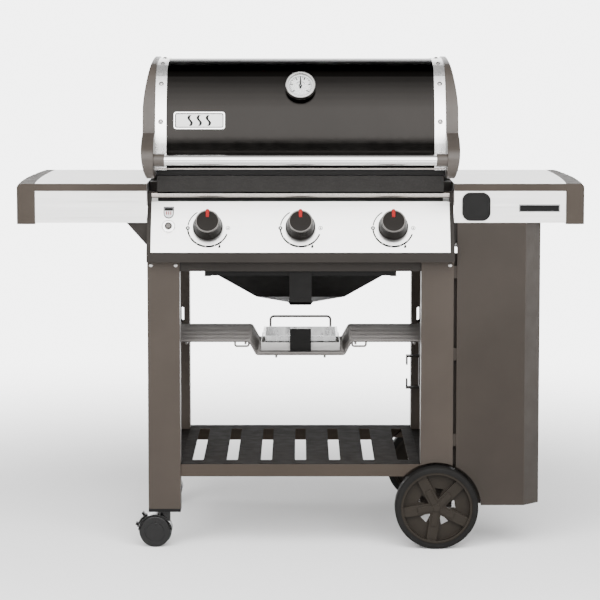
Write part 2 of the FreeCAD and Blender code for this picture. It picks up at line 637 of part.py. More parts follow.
def igniter_socket():
    """The ring and sleeve that the push button slides in."""
    def ring(out0, out1, radius):
        return rod(on_panel(BUTTON_X, BUTTON_UP, out0), on_panel(BUTTON_X, BUTTON_UP, out1), radius)
    body = joined([ring(0, 6, 16), ring(-18, 1, BUTTON_R + 3)])
    body = body.makeFillet(2.5, [e for e in body.Edges if len(e.Vertexes) == 1
                                 and (e.CenterOfMass - on_panel(BUTTON_X, BUTTON_UP, 6)).Length < 1.0])
    return body.cut(ring(-15, 9, BUTTON_R + 0.05))


def igniter_button():
    """A domed push button."""
    button = rod(on_panel(BUTTON_X, BUTTON_UP, -15 + BUTTON_TRAVEL + 0.5),
                 on_panel(BUTTON_X, BUTTON_UP, 12), BUTTON_R)
    return button.makeFillet(5.0, [e for e in button.Edges if len(e.Vertexes) == 1
                                   and (e.CenterOfMass - on_panel(BUTTON_X, BUTTON_UP, 12)).Length < 1.0])


# ---- lid ----
# The lid's side outline, clockwise from the front: straight rise, then arcs (radius, degrees turned).
ARC_FRONT = (240.0, 41.4)
ARC_BROW = (80.0, 36.6)
CROWN_TURN = 24.0
THERMOMETER_TURN = 32.5
THERMOMETER_STEM_R = 14.0
BADGE_TURN = 13.0
BADGE_X0, BADGE_X1 = -305.0, -182.0
BADGE_H = 42.0
SCREW_TURNS = (12.4, 36.0, 80.0, 88.0)
ARC_REAR = (130.0, 63.0)
ARC_BACK = (500.0, 15.0)


def crown_radius():
    """The crown's radius that makes the outline span the cookbox's depth."""
    heading, used = 90.0, 0.0
    for radius, turn in (ARC_FRONT, ARC_BROW, (0.0, CROWN_TURN), ARC_REAR, ARC_BACK):
        after = heading - turn
        used += radius * (math.sin(math.radians(heading)) - math.sin(math.radians(after)))
        heading = after
    return (BOX_DEPTH - used) / (2.0 * math.sin(math.radians(CROWN_TURN / 2.0)))


LID_ARCS = (ARC_FRONT, ARC_BROW, (crown_radius(), CROWN_TURN), ARC_REAR, ARC_BACK)


def lid_edges(x, grow):
    """The lid's outline at one X, moved outwards by grow, from its front foot to its rear foot."""
    at, heading = Vector(x, BOX_Y0 - grow, LID_Z0), 90.0
    after = at + Z * LID_FRONT_RISE
    edges = [Part.LineSegment(at, after).toShape()]
    at = after
    for radius, turn in LID_ARCS:
        radius += grow
        points = []
        for part in (0.5, 1.0):
            end = heading - turn * part
            dy = radius * (math.sin(math.radians(heading)) - math.sin(math.radians(end)))
            dz = radius * (math.cos(math.radians(end)) - math.cos(math.radians(heading)))
            points.append(at + Vector(0, dy, dz))
        edges.append(Part.Arc(at, points[0], points[1]).toShape())
        at, heading = points[1], heading - turn
    edges.append(Part.LineSegment(at, Vector(x, at.y, LID_Z0)).toShape())
    return edges


def lid_point(turned, x, out):
    """A point and the outward normal on the lid's arcs, after the outline turned by some degrees."""
    def outward(degrees):
        return Vector(0, -math.cos(math.radians(degrees)), math.sin(math.radians(degrees)))
    centre, start, last = Vector(x, BOX_Y0, LID_Z0 + LID_FRONT_RISE), 0.0, 0.0
    for radius, turn in LID_ARCS:
        centre -= outward(start) * (radius - last)
        if turned <= start + turn:
            break
        start, last = start + turn, radius
    return centre + outward(turned) * (radius + out), outward(turned)


def lid_slice(x0, x1, outer, inner=None):
    """The lid's outline as a solid between two X, hollowed to an inner outline if one is given."""
    def solid(grow):
        edges = lid_edges(x0, grow)
        start, end = edges[0].Vertexes[0].Point, edges[-1].Vertexes[-1].Point
        edges.append(Part.LineSegment(end, start).toShape())
        return Part.Face(Part.Wire(Part.__sortEdges__(edges))).extrude(X * (x1 - x0))
    whole = solid(outer)
    return whole if inner is None else whole.cut(solid(inner))


def lid_casting():
    """The right end casting: a dished cover with a hinge ear and the arm that holds the handle."""
    x0, x1 = CASTING_IN, CASTING_OUT
    cover = lid_slice(x0, x1, CASTING_PROUD)
    nose = -REACH
    front = Part.BSplineCurve()
    front.interpolate([Vector(x0, BOX_Y0, LID_Z0 + 90), Vector(x0, nose + 22, HANDLE_Z + 34),
                       Vector(x0, nose + 3, HANDLE_Z + 14), Vector(x0, nose + 2, HANDLE_Z - 12),
                       Vector(x0, nose + 16, HANDLE_Z - 34), Vector(x0, nose + 40, BOX_RIM - 3)])
    corners = [Vector(x0, nose + 40, BOX_RIM - 3), Vector(x0, BOX_Y0 + 60, BOX_RIM - 3),
               Vector(x0, BOX_Y0 + 90, LID_Z0), Vector(x0, BOX_Y0, LID_Z0 + 90)]
    sides = [Part.LineSegment(a, b).toShape() for a, b in zip(corners, corners[1:])]
    arm = Part.Face(Part.Wire(Part.__sortEdges__([front.toShape()] + sides))).extrude(X * (x1 - x0))
    skirt = box(x0, x1, BOX_Y0 + 30, HINGE_Y, BOX_RIM, LID_Z0 + 2)
    ear = rod(Vector(x0, HINGE_Y, HINGE_Z), Vector(x0 + 18, HINGE_Y, HINGE_Z), HINGE_PIN_R + 9)
    neck = box(x0, x0 + 18, BOX_Y1 - 40, HINGE_Y, BOX_RIM - 3, LID_Z0 + 12)
    whole = joined([cover, arm, skirt])
    # the outer face leans in towards the crown and the foot
    across = [Vector(x, nose, z) for x, z in
              ((x0, BOX_RIM - 10), (x1 - 16, BOX_RIM - 10), (x1 - 3, LID_Z0 + 20), (x1, LID_Z0 + 70),
               (x1, LID_Z0 + 150), (x1 - 7, LID_Z0 + 210), (x1 - 22, LID_Z0 + 275), (x0, LID_Z0 + 275))]
    side = Part.BSplineCurve()
    side.interpolate(across[1:7])
    foot = [across[6], across[7], across[0], across[1]]
    edges = [side.toShape()] + [Part.LineSegment(a, b).toShape() for a, b in zip(foot, foot[1:])]
    leaning = Part.Face(Part.Wire(Part.__sortEdges__(edges))).extrude(Y * (HINGE_Y + 40 - nose))
    whole = whole.common(leaning)
    pockets = [lid_slice(x0 - 1, x0 + depth, -inset) for depth, inset in ((8, 14), (15, 45), (22, 70))]
    whole = joined([whole.cut(pockets), ear, neck])
    pin = rod(Vector(x0 - 1, HINGE_Y, HINGE_Z), Vector(x0 + 21, HINGE_Y, HINGE_Z), HINGE_PIN_R + AXLE_FIT)
    return whole.cut(pin)


def handle_posts():
    """The round blocks that carry the bar between the castings' arms."""
    posts = []
    for side in (-1, 1):
        start, end = side * (SHROUD_HALF + 1), side * CASTING_IN
        y = -REACH + HANDLE_BAR_R + 4
        post = rod(Vector(start, y, HANDLE_Z), Vector(end, y, HANDLE_Z), HANDLE_BAR_R + 3)
        posts.append(post.cut(handle_bar()))
    return posts


def handle_bar():
    """The long round grip."""
    x, y = SHROUD_HALF + 12, -REACH + HANDLE_BAR_R + 4
    return rod(Vector(-x, y, HANDLE_Z), Vector(x, y, HANDLE_Z), HANDLE_BAR_R)


def lid_shroud():
    """The curved sheet over the firebox, with the hole for the thermometer's stem."""
    sheet = lid_slice(-CASTING_IN, CASTING_IN, 0.0, -LID_SHEET)
    inside, _ = lid_point(THERMOMETER_TURN, 0, -9)
    outside, _ = lid_point(THERMOMETER_TURN, 0, 9)
    return sheet.cut(rod(inside, outside, THERMOMETER_STEM_R + 0.2))


def trim_bands():
    """Bright bands that clamp the shroud's ends to the castings."""
    bands = []
    for side in (-1, 1):
        x0, x1 = sorted((side * SHROUD_HALF, side * CASTING_IN))
        bands.append(lid_slice(x0, x1, LID_SHEET, 0.0))
    return bands


def lid_screws():
    """Domed screws through the trim bands."""
    screws = []
    for side in (-1, 1):
        for turned in SCREW_TURNS:
            at, normal = lid_point(turned, side * (SHROUD_HALF + TRIM_W / 2.0), LID_SHEET)
            dome = Part.makeSphere(7.5, at - normal * 4.5)
            disc = rod(at, at + normal * 5, 7.0)
            screws.append(dome.common(disc))
    return screws


def badge_plate():
    """A blank plate with rounded corners on the lid's front."""
    at, _ = lid_point(BADGE_TURN, 0, 0)
    plate = box(BADGE_X0, BADGE_X1, -BADGE_H / 2, BADGE_H / 2, -1.2, 4.0)
    plate = rounded(plate, 6.0, along_z)
    plate.rotate(Vector(0, 0, 0), X, 90 - BADGE_TURN)
    plate.translate(at)
    return plate.cut(lid_slice(-CASTING_IN, CASTING_IN, 0.0))


def thermometer(part):
    """Case, dial or needle of the lid thermometer."""
    turned = THERMOMETER_TURN

    def disc(out0, out1, radius):
        start, _ = lid_point(turned, 0, out0)
        end, _ = lid_point(turned, 0, out1)
        return rod(start, end, radius)
    if part == "case":
        case = disc(9, 24, 36.5)
        case = case.makeFillet(3.0, [e for e in case.Edges if len(e.Vertexes) == 1])
        return joined([case.cut(disc(13, 25, 31)), disc(-22, 10, THERMOMETER_STEM_R)])
    if part == "dial":
        return joined([disc(13, 15, 31), disc(14, 19, 1.0)])
    at, _ = lid_point(turned, 0, 0)
    needle = prism([(-2.4, -8, 0), (2.4, -8, 0), (1.2, 26, 0), (-1.2, 26, 0)], Z * 1.2)
    needle = joined([needle, rod(Vector(0, 0, 0), Vector(0, 0, 1.2), 4.0)])
    needle = needle.cut(rod(Vector(0, 0, -1), Vector(0, 0, 3), 1.05))
    needle.translate(Vector(0, 0, 16.5))
    needle.rotate(Vector(0, 0, 0), X, 90 - turned)
    needle.translate(at)
    return needle


def lid_hinges():
    """Brackets on the cookbox's back with the pins that the castings turn on."""
    pieces = []
    for side in (-1, 1):
        x0, x1 = side * (BOX_HALF - 28), side * BOX_HALF
        plate = box(x0, x1, BOX_Y1, HINGE_Y + 12, BOX_RIM - 50, BOX_RIM - 8)
        boss = rod(Vector(x0, HINGE_Y, HINGE_Z), Vector(x1, HINGE_Y, HINGE_Z), HINGE_PIN_R + 7)
        pin_end = Vector(side * (CASTING_IN + 18), HINGE_Y, HINGE_Z)
        pin = rod(Vector(x0, HINGE_Y, HINGE_Z), pin_end, HINGE_PIN_R)
        riser = box(x0, x1, HINGE_Y - 10, HINGE_Y + 10, BOX_RIM - 12, HINGE_Z)
        pieces.append(joined([plate, boss, riser, pin]))
    return pieces


def warming_rack():
    """A raised wire rack standing on the cookbox's side walls."""
    y0, y1, z = BOX_Y1 - 125, BOX_Y1 - 35, BOX_RIM + 105
    half = BOX_HALF - BOX_WALL / 2.0
    wires = []
    for y in (y0, y1):
        points = [(-half, y, BOX_RIM), (-half, y, z), (half, y, z), (half, y, BOX_RIM)]
        wires.append(wire_rod(points, 2.4, 16))
    count = 21
    for i in range(count):
        x = (i - (count - 1) / 2.0) * 31.0
        wires.append(rod(Vector(x, y0 - 6, z + 4), Vector(x, y1 + 6, z + 4), 2.0))
    return joined(wires)


# ---- side tables ----
POD_X, POD_Z = 423.0, 834.0
POD_HALF = 34.0
POD_T = 7.0
POD_CORNER = 20.0
CAP_IN_FRONT = TABLE_OUT - 51.0
CAP_IN_MIDDLE = TABLE_OUT - 42.0
CAP_IN_REAR = TABLE_OUT - 48.0
TRIM_T = 2.0
SKIRT_BOTTOM = TABLE_HEIGHT - TRIM_H - SKIRT_H
BEAM_H = 30.0
GUSSET_W = 50.0


def seam(z):
    """The bowed line where a table top meets its end cap."""
    return Part.Arc(Vector(CAP_IN_FRONT, TABLE_Y0, z), Vector(CAP_IN_MIDDLE, (TABLE_Y0 + TABLE_Y1) / 2.0, z),
                    Vector(CAP_IN_REAR, TABLE_Y1, z)).toShape()


def beams():
    """Two crossbeams that carry one table off the cookbox's side."""
    z1 = TABLE_HEIGHT - SHEET
    return [tube_box(BOX_HALF, CAP_IN_FRONT - 20, y - 15, y + 15, z1 - BEAM_H, z1, LEG_WALL, "x")
            for y in (TABLE_Y0 + 120, TABLE_Y1 - 90)]


def shelf_top():
    """The right table: a steel sheet turned down all round."""
    z0, z1 = TABLE_HEIGHT - SHEET, TABLE_HEIGHT
    corners = [Vector(TABLE_IN, TABLE_Y1, z0), Vector(TABLE_IN, TABLE_Y0, z0)]
    edges = [Part.LineSegment(corners[0], corners[1]).toShape(),
             Part.LineSegment(corners[1], Vector(CAP_IN_FRONT, TABLE_Y0, z0)).toShape(), seam(z0),
             Part.LineSegment(Vector(CAP_IN_REAR, TABLE_Y1, z0), corners[0]).toShape()]
    plate = Part.Face(Part.Wire(Part.__sortEdges__(edges))).extrude(Z * SHEET)
    front = box(TABLE_IN, CAP_IN_FRONT, TABLE_Y0, TABLE_Y0 + SHEET, SKIRT_BOTTOM, z1)
    back = box(TABLE_IN, CAP_IN_REAR, TABLE_Y1 - SHEET, TABLE_Y1, SKIRT_BOTTOM, z1)
    inner = box(TABLE_IN, TABLE_IN + SHEET, TABLE_Y0, TABLE_Y1, z1 - 45, z1)
    inner = inner.cut(Part.makeCompound([box(BOX_HALF, LEG_OUT + 9, b.BoundBox.YMin, b.BoundBox.YMax,
                                             b.BoundBox.ZMin, b.BoundBox.ZMax) for b in beams()]))
    return joined([plate, front, back] + inner.Solids)


def front_trim():
    """The grey strip along a table's front edge."""
    strip = box(TABLE_IN, CAP_IN_FRONT, TABLE_Y0 - TRIM_T, TABLE_Y0, TABLE_HEIGHT - TRIM_H, TABLE_HEIGHT)
    return strip.makeFillet(1.2, [e for e in strip.Edges if e.Length > 50
                                  and abs(e.CenterOfMass.y - (TABLE_Y0 - TRIM_T)) < 1e-3])


def end_cap():
    """The curved cap on a table's outer end, open underneath."""
    z0 = SKIRT_BOTTOM - END_CAP_DROP

    def block(inset, low, high):
        y0, y1 = TABLE_Y0 - TRIM_T + inset, TABLE_Y1 + 2 - inset
        shift = Vector(inset, 0, 0)
        start, end = Vector(CAP_IN_FRONT, y0, low) + shift, Vector(CAP_IN_REAR, y1, low) + shift
        middle = Vector(CAP_IN_MIDDLE, (y0 + y1) / 2.0, low) + shift
        outer = [Vector(TABLE_OUT - 7 - inset, y0, low), Vector(TABLE_OUT - inset, (y0 + y1) / 2.0, low),
                 Vector(TABLE_OUT - 16 - inset, y1, low)]
        edges = [Part.Arc(start, middle, end).toShape(), Part.LineSegment(end, outer[2]).toShape(),
                 Part.Arc(outer[2], outer[1], outer[0]).toShape(), Part.LineSegment(outer[0], start).toShape()]
        return Part.Face(Part.Wire(Part.__sortEdges__(edges))).extrude(Z * (high - low))
    cap = block(0.0, z0, TABLE_HEIGHT)
    outside = [e for e in cap.Edges if e.CenterOfMass.x > CAP_IN_FRONT + 30 or
               (along_z(e) and e.CenterOfMass.x > CAP_IN_FRONT + 12)]
    cap = cap.makeFillet(11.0, [e for e in outside if e.CenterOfMass.z > z0 + 3])
    return cap.cut(block(3.0, z0 - 1, TABLE_HEIGHT - 12))


def shelf_brackets():
    """Crossbeams and the gusset under each table."""
    gusset = prism([(LEG_OUT, TABLE_Y0 + 8, SKIRT_BOTTOM - 56), (LEG_OUT, TABLE_Y0 + 8, SKIRT_BOTTOM + 20),
                    (LEG_OUT + GUSSET_W, TABLE_Y0 + 8, SKIRT_BOTTOM + 20),
                    (LEG_OUT + GUSSET_W, TABLE_Y0 + 8, SKIRT_BOTTOM)], Y * 2.0)
    pieces = beams() + [gusset]
    return pieces + [mirrored(p) for p in pieces]


def pod_cover():
    """A blank rounded cover on the right table's skirt."""
    cover = box(POD_X - POD_HALF, POD_X + POD_HALF, TABLE_Y0 - POD_T, TABLE_Y0, POD_Z - POD_HALF,
                POD_Z + POD_HALF)
    return rounded(cover, POD_CORNER, along_y)


# ---- tank bay ----
TANK_X0 = LEG_OUT + 8.0
TANK_BEND_X = 543.0
TANK_X1 = 582.0
TANK_BEND_D = 40.0
TANK_BOTTOM = 105.0
TANK_RETURN = 70.0
TANK_FOLD = 24.0          # the inner edge, folded back and in towards the leg
TANK_FOLD_TOP = 720.0
HOOK_FOOT = 321.0
HOOK_TOP = 408.0


def tank_panel():
    """The folded front cover of the tank bay, arched clear of the wheel and tabbed to the leg."""
    t, y = 1.5, TABLE_Y0
    slant = math.atan2(TANK_BEND_D, TANK_X1 - TANK_BEND_X)
    edge = t * math.tan(slant / 2.0)
    turn = t * math.tan((math.pi / 2.0 - slant) / 2.0)
    outline = [(TANK_X0, y), (TANK_BEND_X, y), (TANK_X1, y + TANK_BEND_D),
               (TANK_X1, y + TANK_BEND_D + TANK_RETURN), (TANK_X1 - t, y + TANK_BEND_D + TANK_RETURN),
               (TANK_X1 - t, y + TANK_BEND_D + turn), (TANK_BEND_X - edge, y + t), (TANK_X0, y + t)]
    sheet = prism([(px, py, TANK_BOTTOM) for px, py in outline], Z * (SKIRT_BOTTOM - TANK_BOTTOM))
    flange = joined([box(TANK_X0, TANK_X0 + t, y, y + 7, TANK_BOTTOM, SKIRT_BOTTOM),
                     box(TANK_X0, TANK_X0 + t, y, y + TANK_FOLD, TANK_BOTTOM, TANK_FOLD_TOP),
                     box(LEG_OUT + GAP, TANK_X0 + t, y + TANK_FOLD - t, y + TANK_FOLD, TANK_BOTTOM,
                         TANK_FOLD_TOP)])
    arch = rod(Vector(AXLE_X, y - 1, WHEEL_R), Vector(AXLE_X, y + 50, WHEEL_R), WHEEL_R + ARCH_GAP)
    tabs = [box(LEG_OUT, TANK_X0 + t, y + 4, y + 6, z, z + 30) for z in (250, 460, 660)]
    hem = box(LEG_OUT + GUSSET_W + 2, TANK_BEND_X - 4, y + t / 2, y + 16, SKIRT_BOTTOM - t, SKIRT_BOTTOM)
    liner = arch_liner(TANK_X0, TANK_X1, y, TANK_BOTTOM, SKIRT_BOTTOM)
    return joined([sheet.cut(arch), flange.cut(arch), liner, hem] + tabs)


def tank_hook():
    """The bracket inside the right side of the cart that a gas cylinder's collar hangs on."""
    x1, y0, y1 = SIDE_RAIL_X, BACK - 136.0, BACK - 104.0
    strap = box(x1 - 3, x1, y0, y1, HOOK_FOOT, MID_RAIL_TOP)
    loop = tube_box(x1 - 37, x1, y0, y1, HOOK_FOOT, HOOK_TOP, 4, "y")
    loop = loop.cut(box(x1 - 38, x1 - 20, y0 - 1, y1 + 1, HOOK_FOOT + 24, HOOK_TOP - 24))
    return joined([strap, loop])


# ---- grease management ----
TRAY_Y0 = FRONT + 30.0
TRAY_Y1 = BACK - 60.0
TRAY_MID = (TRAY_Y0 + TRAY_Y1) / 2.0
LIP_Z = TRAY_TOP - TRAY_LIP
DRAIN_R = 10.0


def grease_tray():
    """The sheet funnel that slides in under the firebox, with its front handle."""
    half, depth = TRAY_W / 2.0, (TRAY_Y1 - TRAY_Y0) / 2.0

    def level(x1, share, z):
        return (x1, TRAY_MID - depth * share, TRAY_MID + depth * share, z)
    levels = [level(half - 26, 0.96, LIP_Z + 1), level(109, 0.55, 599.5), level(31, 0.14, 574),
              level(26, 0.12, 566)]
    outer = [Part.makeLoft([slab(*a), slab(*b)], True, True) for a, b in zip(levels, levels[1:])]
    thin = [(x1 - 1.6, y0 + 1.6, y1 - 1.6, z + 1.6) for x1, y0, y1, z in levels]
    inner = [Part.makeLoft([slab(*a), slab(*b)], True, True) for a, b in zip(thin, thin[1:])]
    funnel = joined(outer).cut(joined(inner))
    lip = tube_box(-half, half, TRAY_Y0, TRAY_Y1, LIP_Z, TRAY_TOP - 1, SHEET)
    opening = box(-half + 28, half - 28, TRAY_Y0 + 0.04 * depth + 2, TRAY_Y1 - 0.04 * depth - 2, 0, TRAY_TOP)
    flat = box(-half, half, TRAY_Y0, TRAY_Y1, LIP_Z, LIP_Z + SHEET).cut(opening)
    drain = rod(Vector(0, TRAY_MID, 500), Vector(0, TRAY_MID, 600), DRAIN_R)
    handle = box(-27, 27, TRAY_Y0 - 6, TRAY_Y0 + 1, 600, TRAY_TOP - 2)
    return joined([funnel.cut(drain), lip, flat, handle])


RACK_Z = MID_RAIL_TOP + WIRE_R
PAN_Y0 = TRAY_MID - FOIL_D / 2.0
PAN_Y1 = TRAY_MID + FOIL_D / 2.0
PAN_Z = RACK_Z - RACK_DIP + WIRE_R + GAP


def wire_rack():
    """A wire rack across the cart, dipped in the middle to hold the catch pan."""
    half, dip, low = SIDE_RAIL_X + 20.0, RACK_DIP_W / 2.0, RACK_Z - RACK_DIP
    y0, y1 = PAN_Y0 - RACK_FRONT, PAN_Y1 + RACK_REAR
    wires = []
    for i in range(RACK_WIRES):
        y = y0 + (y1 - y0) * i / (RACK_WIRES - 1)
        points = [(-half, y, RACK_Z), (-dip - 14, y, RACK_Z), (-dip + 4, y, low), (dip - 4, y, low),
                  (dip + 14, y, RACK_Z), (half, y, RACK_Z)]
        wires.append(wire_rod(points, WIRE_R, 7.0))
    across = 2 * WIRE_R - 0.6
    for x, z in ((-RACK_W / 2.0 + 8, RACK_Z), (-dip - 24, RACK_Z), (-60, low), (60, low), (dip + 24, RACK_Z),
                 (RACK_W / 2.0 - 8, RACK_Z)):
        wires.append(rod(Vector(x, y0 - 6, z - across), Vector(x, y1 + 6, z - across), WIRE_R))
    back = y1 + across
    wires.append(wire_rod([(-78, back, low - 2), (-78, back, RACK_Z + 22), (78, back, RACK_Z + 22),
                           (78, back, low - 2)], WIRE_R, 9.0))
    for x in (-145, 145):
        wires.append(wire_rod([(x - 17, y0, RACK_Z), (x - 17, y0, RACK_Z - 13), (x + 17, y0, RACK_Z - 13),
                               (x + 17, y0, RACK_Z)], WIRE_R - 0.5, 5.0))
    return joined(wires)


def catch_pan():
    """The steel holder that slides along the rack, with its front handle."""
    half = FOIL_W / 2.0
    pan = box(-half, half, PAN_Y0, PAN_Y1, PAN_Z, PAN_Z + 20)
    pan = pan.cut(box(-half + SHEET, half - SHEET, PAN_Y0 + SHEET, PAN_Y1 - SHEET, PAN_Z + SHEET, PAN_Z + 40))
    grip = box(-25, 25, PAN_Y0 - 14, PAN_Y0 - 11, PAN_Z, PAN_Z + 56)
    foot = box(-25, 25, PAN_Y0 - 12, PAN_Y0 + 1, PAN_Z, PAN_Z + 3)
    return joined([pan, grip, foot])


def foil_pan():
    """The drip liner with flared walls and a rolled rim."""
    z0, z1 = PAN_Z + SHEET, PAN_Z + SHEET + FOIL_H
    half, wall = FOIL_W / 2.0 - 10, 0.8
    levels = [(half - 6, PAN_Y0 + 12, PAN_Y1 - 12, z0), (half + 1, PAN_Y0 + 9, PAN_Y1 - 9, z1)]
    outer = Part.makeLoft([slab(*level) for level in levels], True, True)
    thin = [(x1 - wall, y0 + wall, y1 - wall, z) for x1, y0, y1, z in levels]
    inner = Part.makeLoft([slab(*level) for level in thin], True, True)
    inner.translate(Z * wall)
    rim = box(-half - 6, half + 6, PAN_Y0 + 4, PAN_Y1 - 4, z1 - 1.2, z1)
    rim = rim.cut(box(-half - 0.5, half + 0.5, PAN_Y0 + 9.5, PAN_Y1 - 9.5, z1 - 3, z1 + 1))
    return joined([outer.cut(inner), rim])


def build():
    """Writes every node."""
    os.makedirs("parts", exist_ok=True)
    save("front_legs", [leg(True, True), leg(True, False)])
    save("rear_legs", [leg(False, True), leg(False, False)])
    save("leg_end_caps", [leg_cap(), mirrored_y(leg_cap())])
    save("frame_rails", frame_rails())
    save("cart_bolts", cart_bolts())
    save("bottom_shelf", bottom_shelf())
    save("wheel_axle", wheel_axle())
    for end, place in (("front", lambda s: s), ("rear", mirrored_y)):
        save("wheel_hub_" + end, place(wheel_hub()))
        save("wheel_tyre_" + end, place(wheel_tyre()))
        save("caster_housing_" + end, place(caster_housing()))
        save("caster_wheels_" + end, place(caster_wheels()))
        save("caster_brake_" + end, place(caster_brake()))
    save("cookbox", cookbox())
    save("cooking_grates", cooking_grates())
    save("flame_tamers", flame_tamers())
    save("burners", burners())
    save("igniter_electrodes", igniter_electrodes())
    save("gas_manifold", gas_manifold())
    save("gas_valves", [gas_valve(x) for _, x in KNOBS])
    for name, x in KNOBS:
        save("valve_stem_" + name, valve_stem(x))
        save("knob_" + name, knob(x))
    save("control_panel", control_panel())
    save("panel_surround", panel_surround())
    save("panel_top_rail", panel_top_rail())
    save("igniter_socket", igniter_socket())
    save("igniter_button", igniter_button())
    save("lid_shroud", lid_shroud())
    save("lid_casting_right", lid_casting())
    save("lid_casting_left", mirrored(lid_casting()))
    save("lid_trim_bands", trim_bands())
    save("lid_screws", lid_screws())
    save("lid_handle_bar", handle_bar())
    save("handle_posts", handle_posts())
    save("badge_plate", badge_plate())
    save("thermometer_case", thermometer("case"))
    save("thermometer_dial", thermometer("dial"))
    save("thermometer_needle", thermometer("needle"))
    save("lid_hinges", lid_hinges())
    save("warming_rack", warming_rack())
    save("right_shelf_top", shelf_top())
    save("left_shelf_top", mirrored(shelf_top()))
    save("shelf_front_trims", [front_trim(), mirrored(front_trim())])
    save("shelf_end_caps", [end_cap(), mirrored(end_cap())])
    save("shelf_brackets", shelf_brackets())
    save("pod_cover", pod_cover())
    save("tank_panel", tank_panel())
    save("tank_hook", tank_hook())
    save("grease_tray", grease_tray())
    save("wire_rack", wire_rack())
    save("catch_pan", catch_pan())
    save("foil_pan", foil_pan())


build()
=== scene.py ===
import json
import math

import bmesh
import bpy
from mathutils import Matrix, Vector


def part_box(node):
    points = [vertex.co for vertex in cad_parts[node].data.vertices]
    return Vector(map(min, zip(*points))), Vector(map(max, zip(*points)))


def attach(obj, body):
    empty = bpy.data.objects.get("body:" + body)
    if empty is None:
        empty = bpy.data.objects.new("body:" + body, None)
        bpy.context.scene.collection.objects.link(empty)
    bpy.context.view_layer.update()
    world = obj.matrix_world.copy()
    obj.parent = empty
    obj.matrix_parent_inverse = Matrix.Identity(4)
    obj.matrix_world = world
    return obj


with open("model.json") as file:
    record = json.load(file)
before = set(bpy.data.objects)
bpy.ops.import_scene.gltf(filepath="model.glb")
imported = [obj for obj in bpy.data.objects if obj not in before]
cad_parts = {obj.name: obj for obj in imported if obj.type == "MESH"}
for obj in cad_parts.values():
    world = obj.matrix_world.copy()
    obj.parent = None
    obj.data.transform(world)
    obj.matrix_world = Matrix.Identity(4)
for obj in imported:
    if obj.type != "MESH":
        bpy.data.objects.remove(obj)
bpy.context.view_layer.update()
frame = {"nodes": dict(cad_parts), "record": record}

# Looks of a gas barbecue grill. Metres, in the frame of the CAD model: +Z up, -Y towards the cook.

nodes = frame["nodes"]
record = frame["record"]
MM = 0.001
WEAR_AND_HIGHLIGHT_WIDTH = 1.2 * MM                  # how far the edge wear and painted edge highlight reach in from an edge
BEVEL_SAMPLES = 6


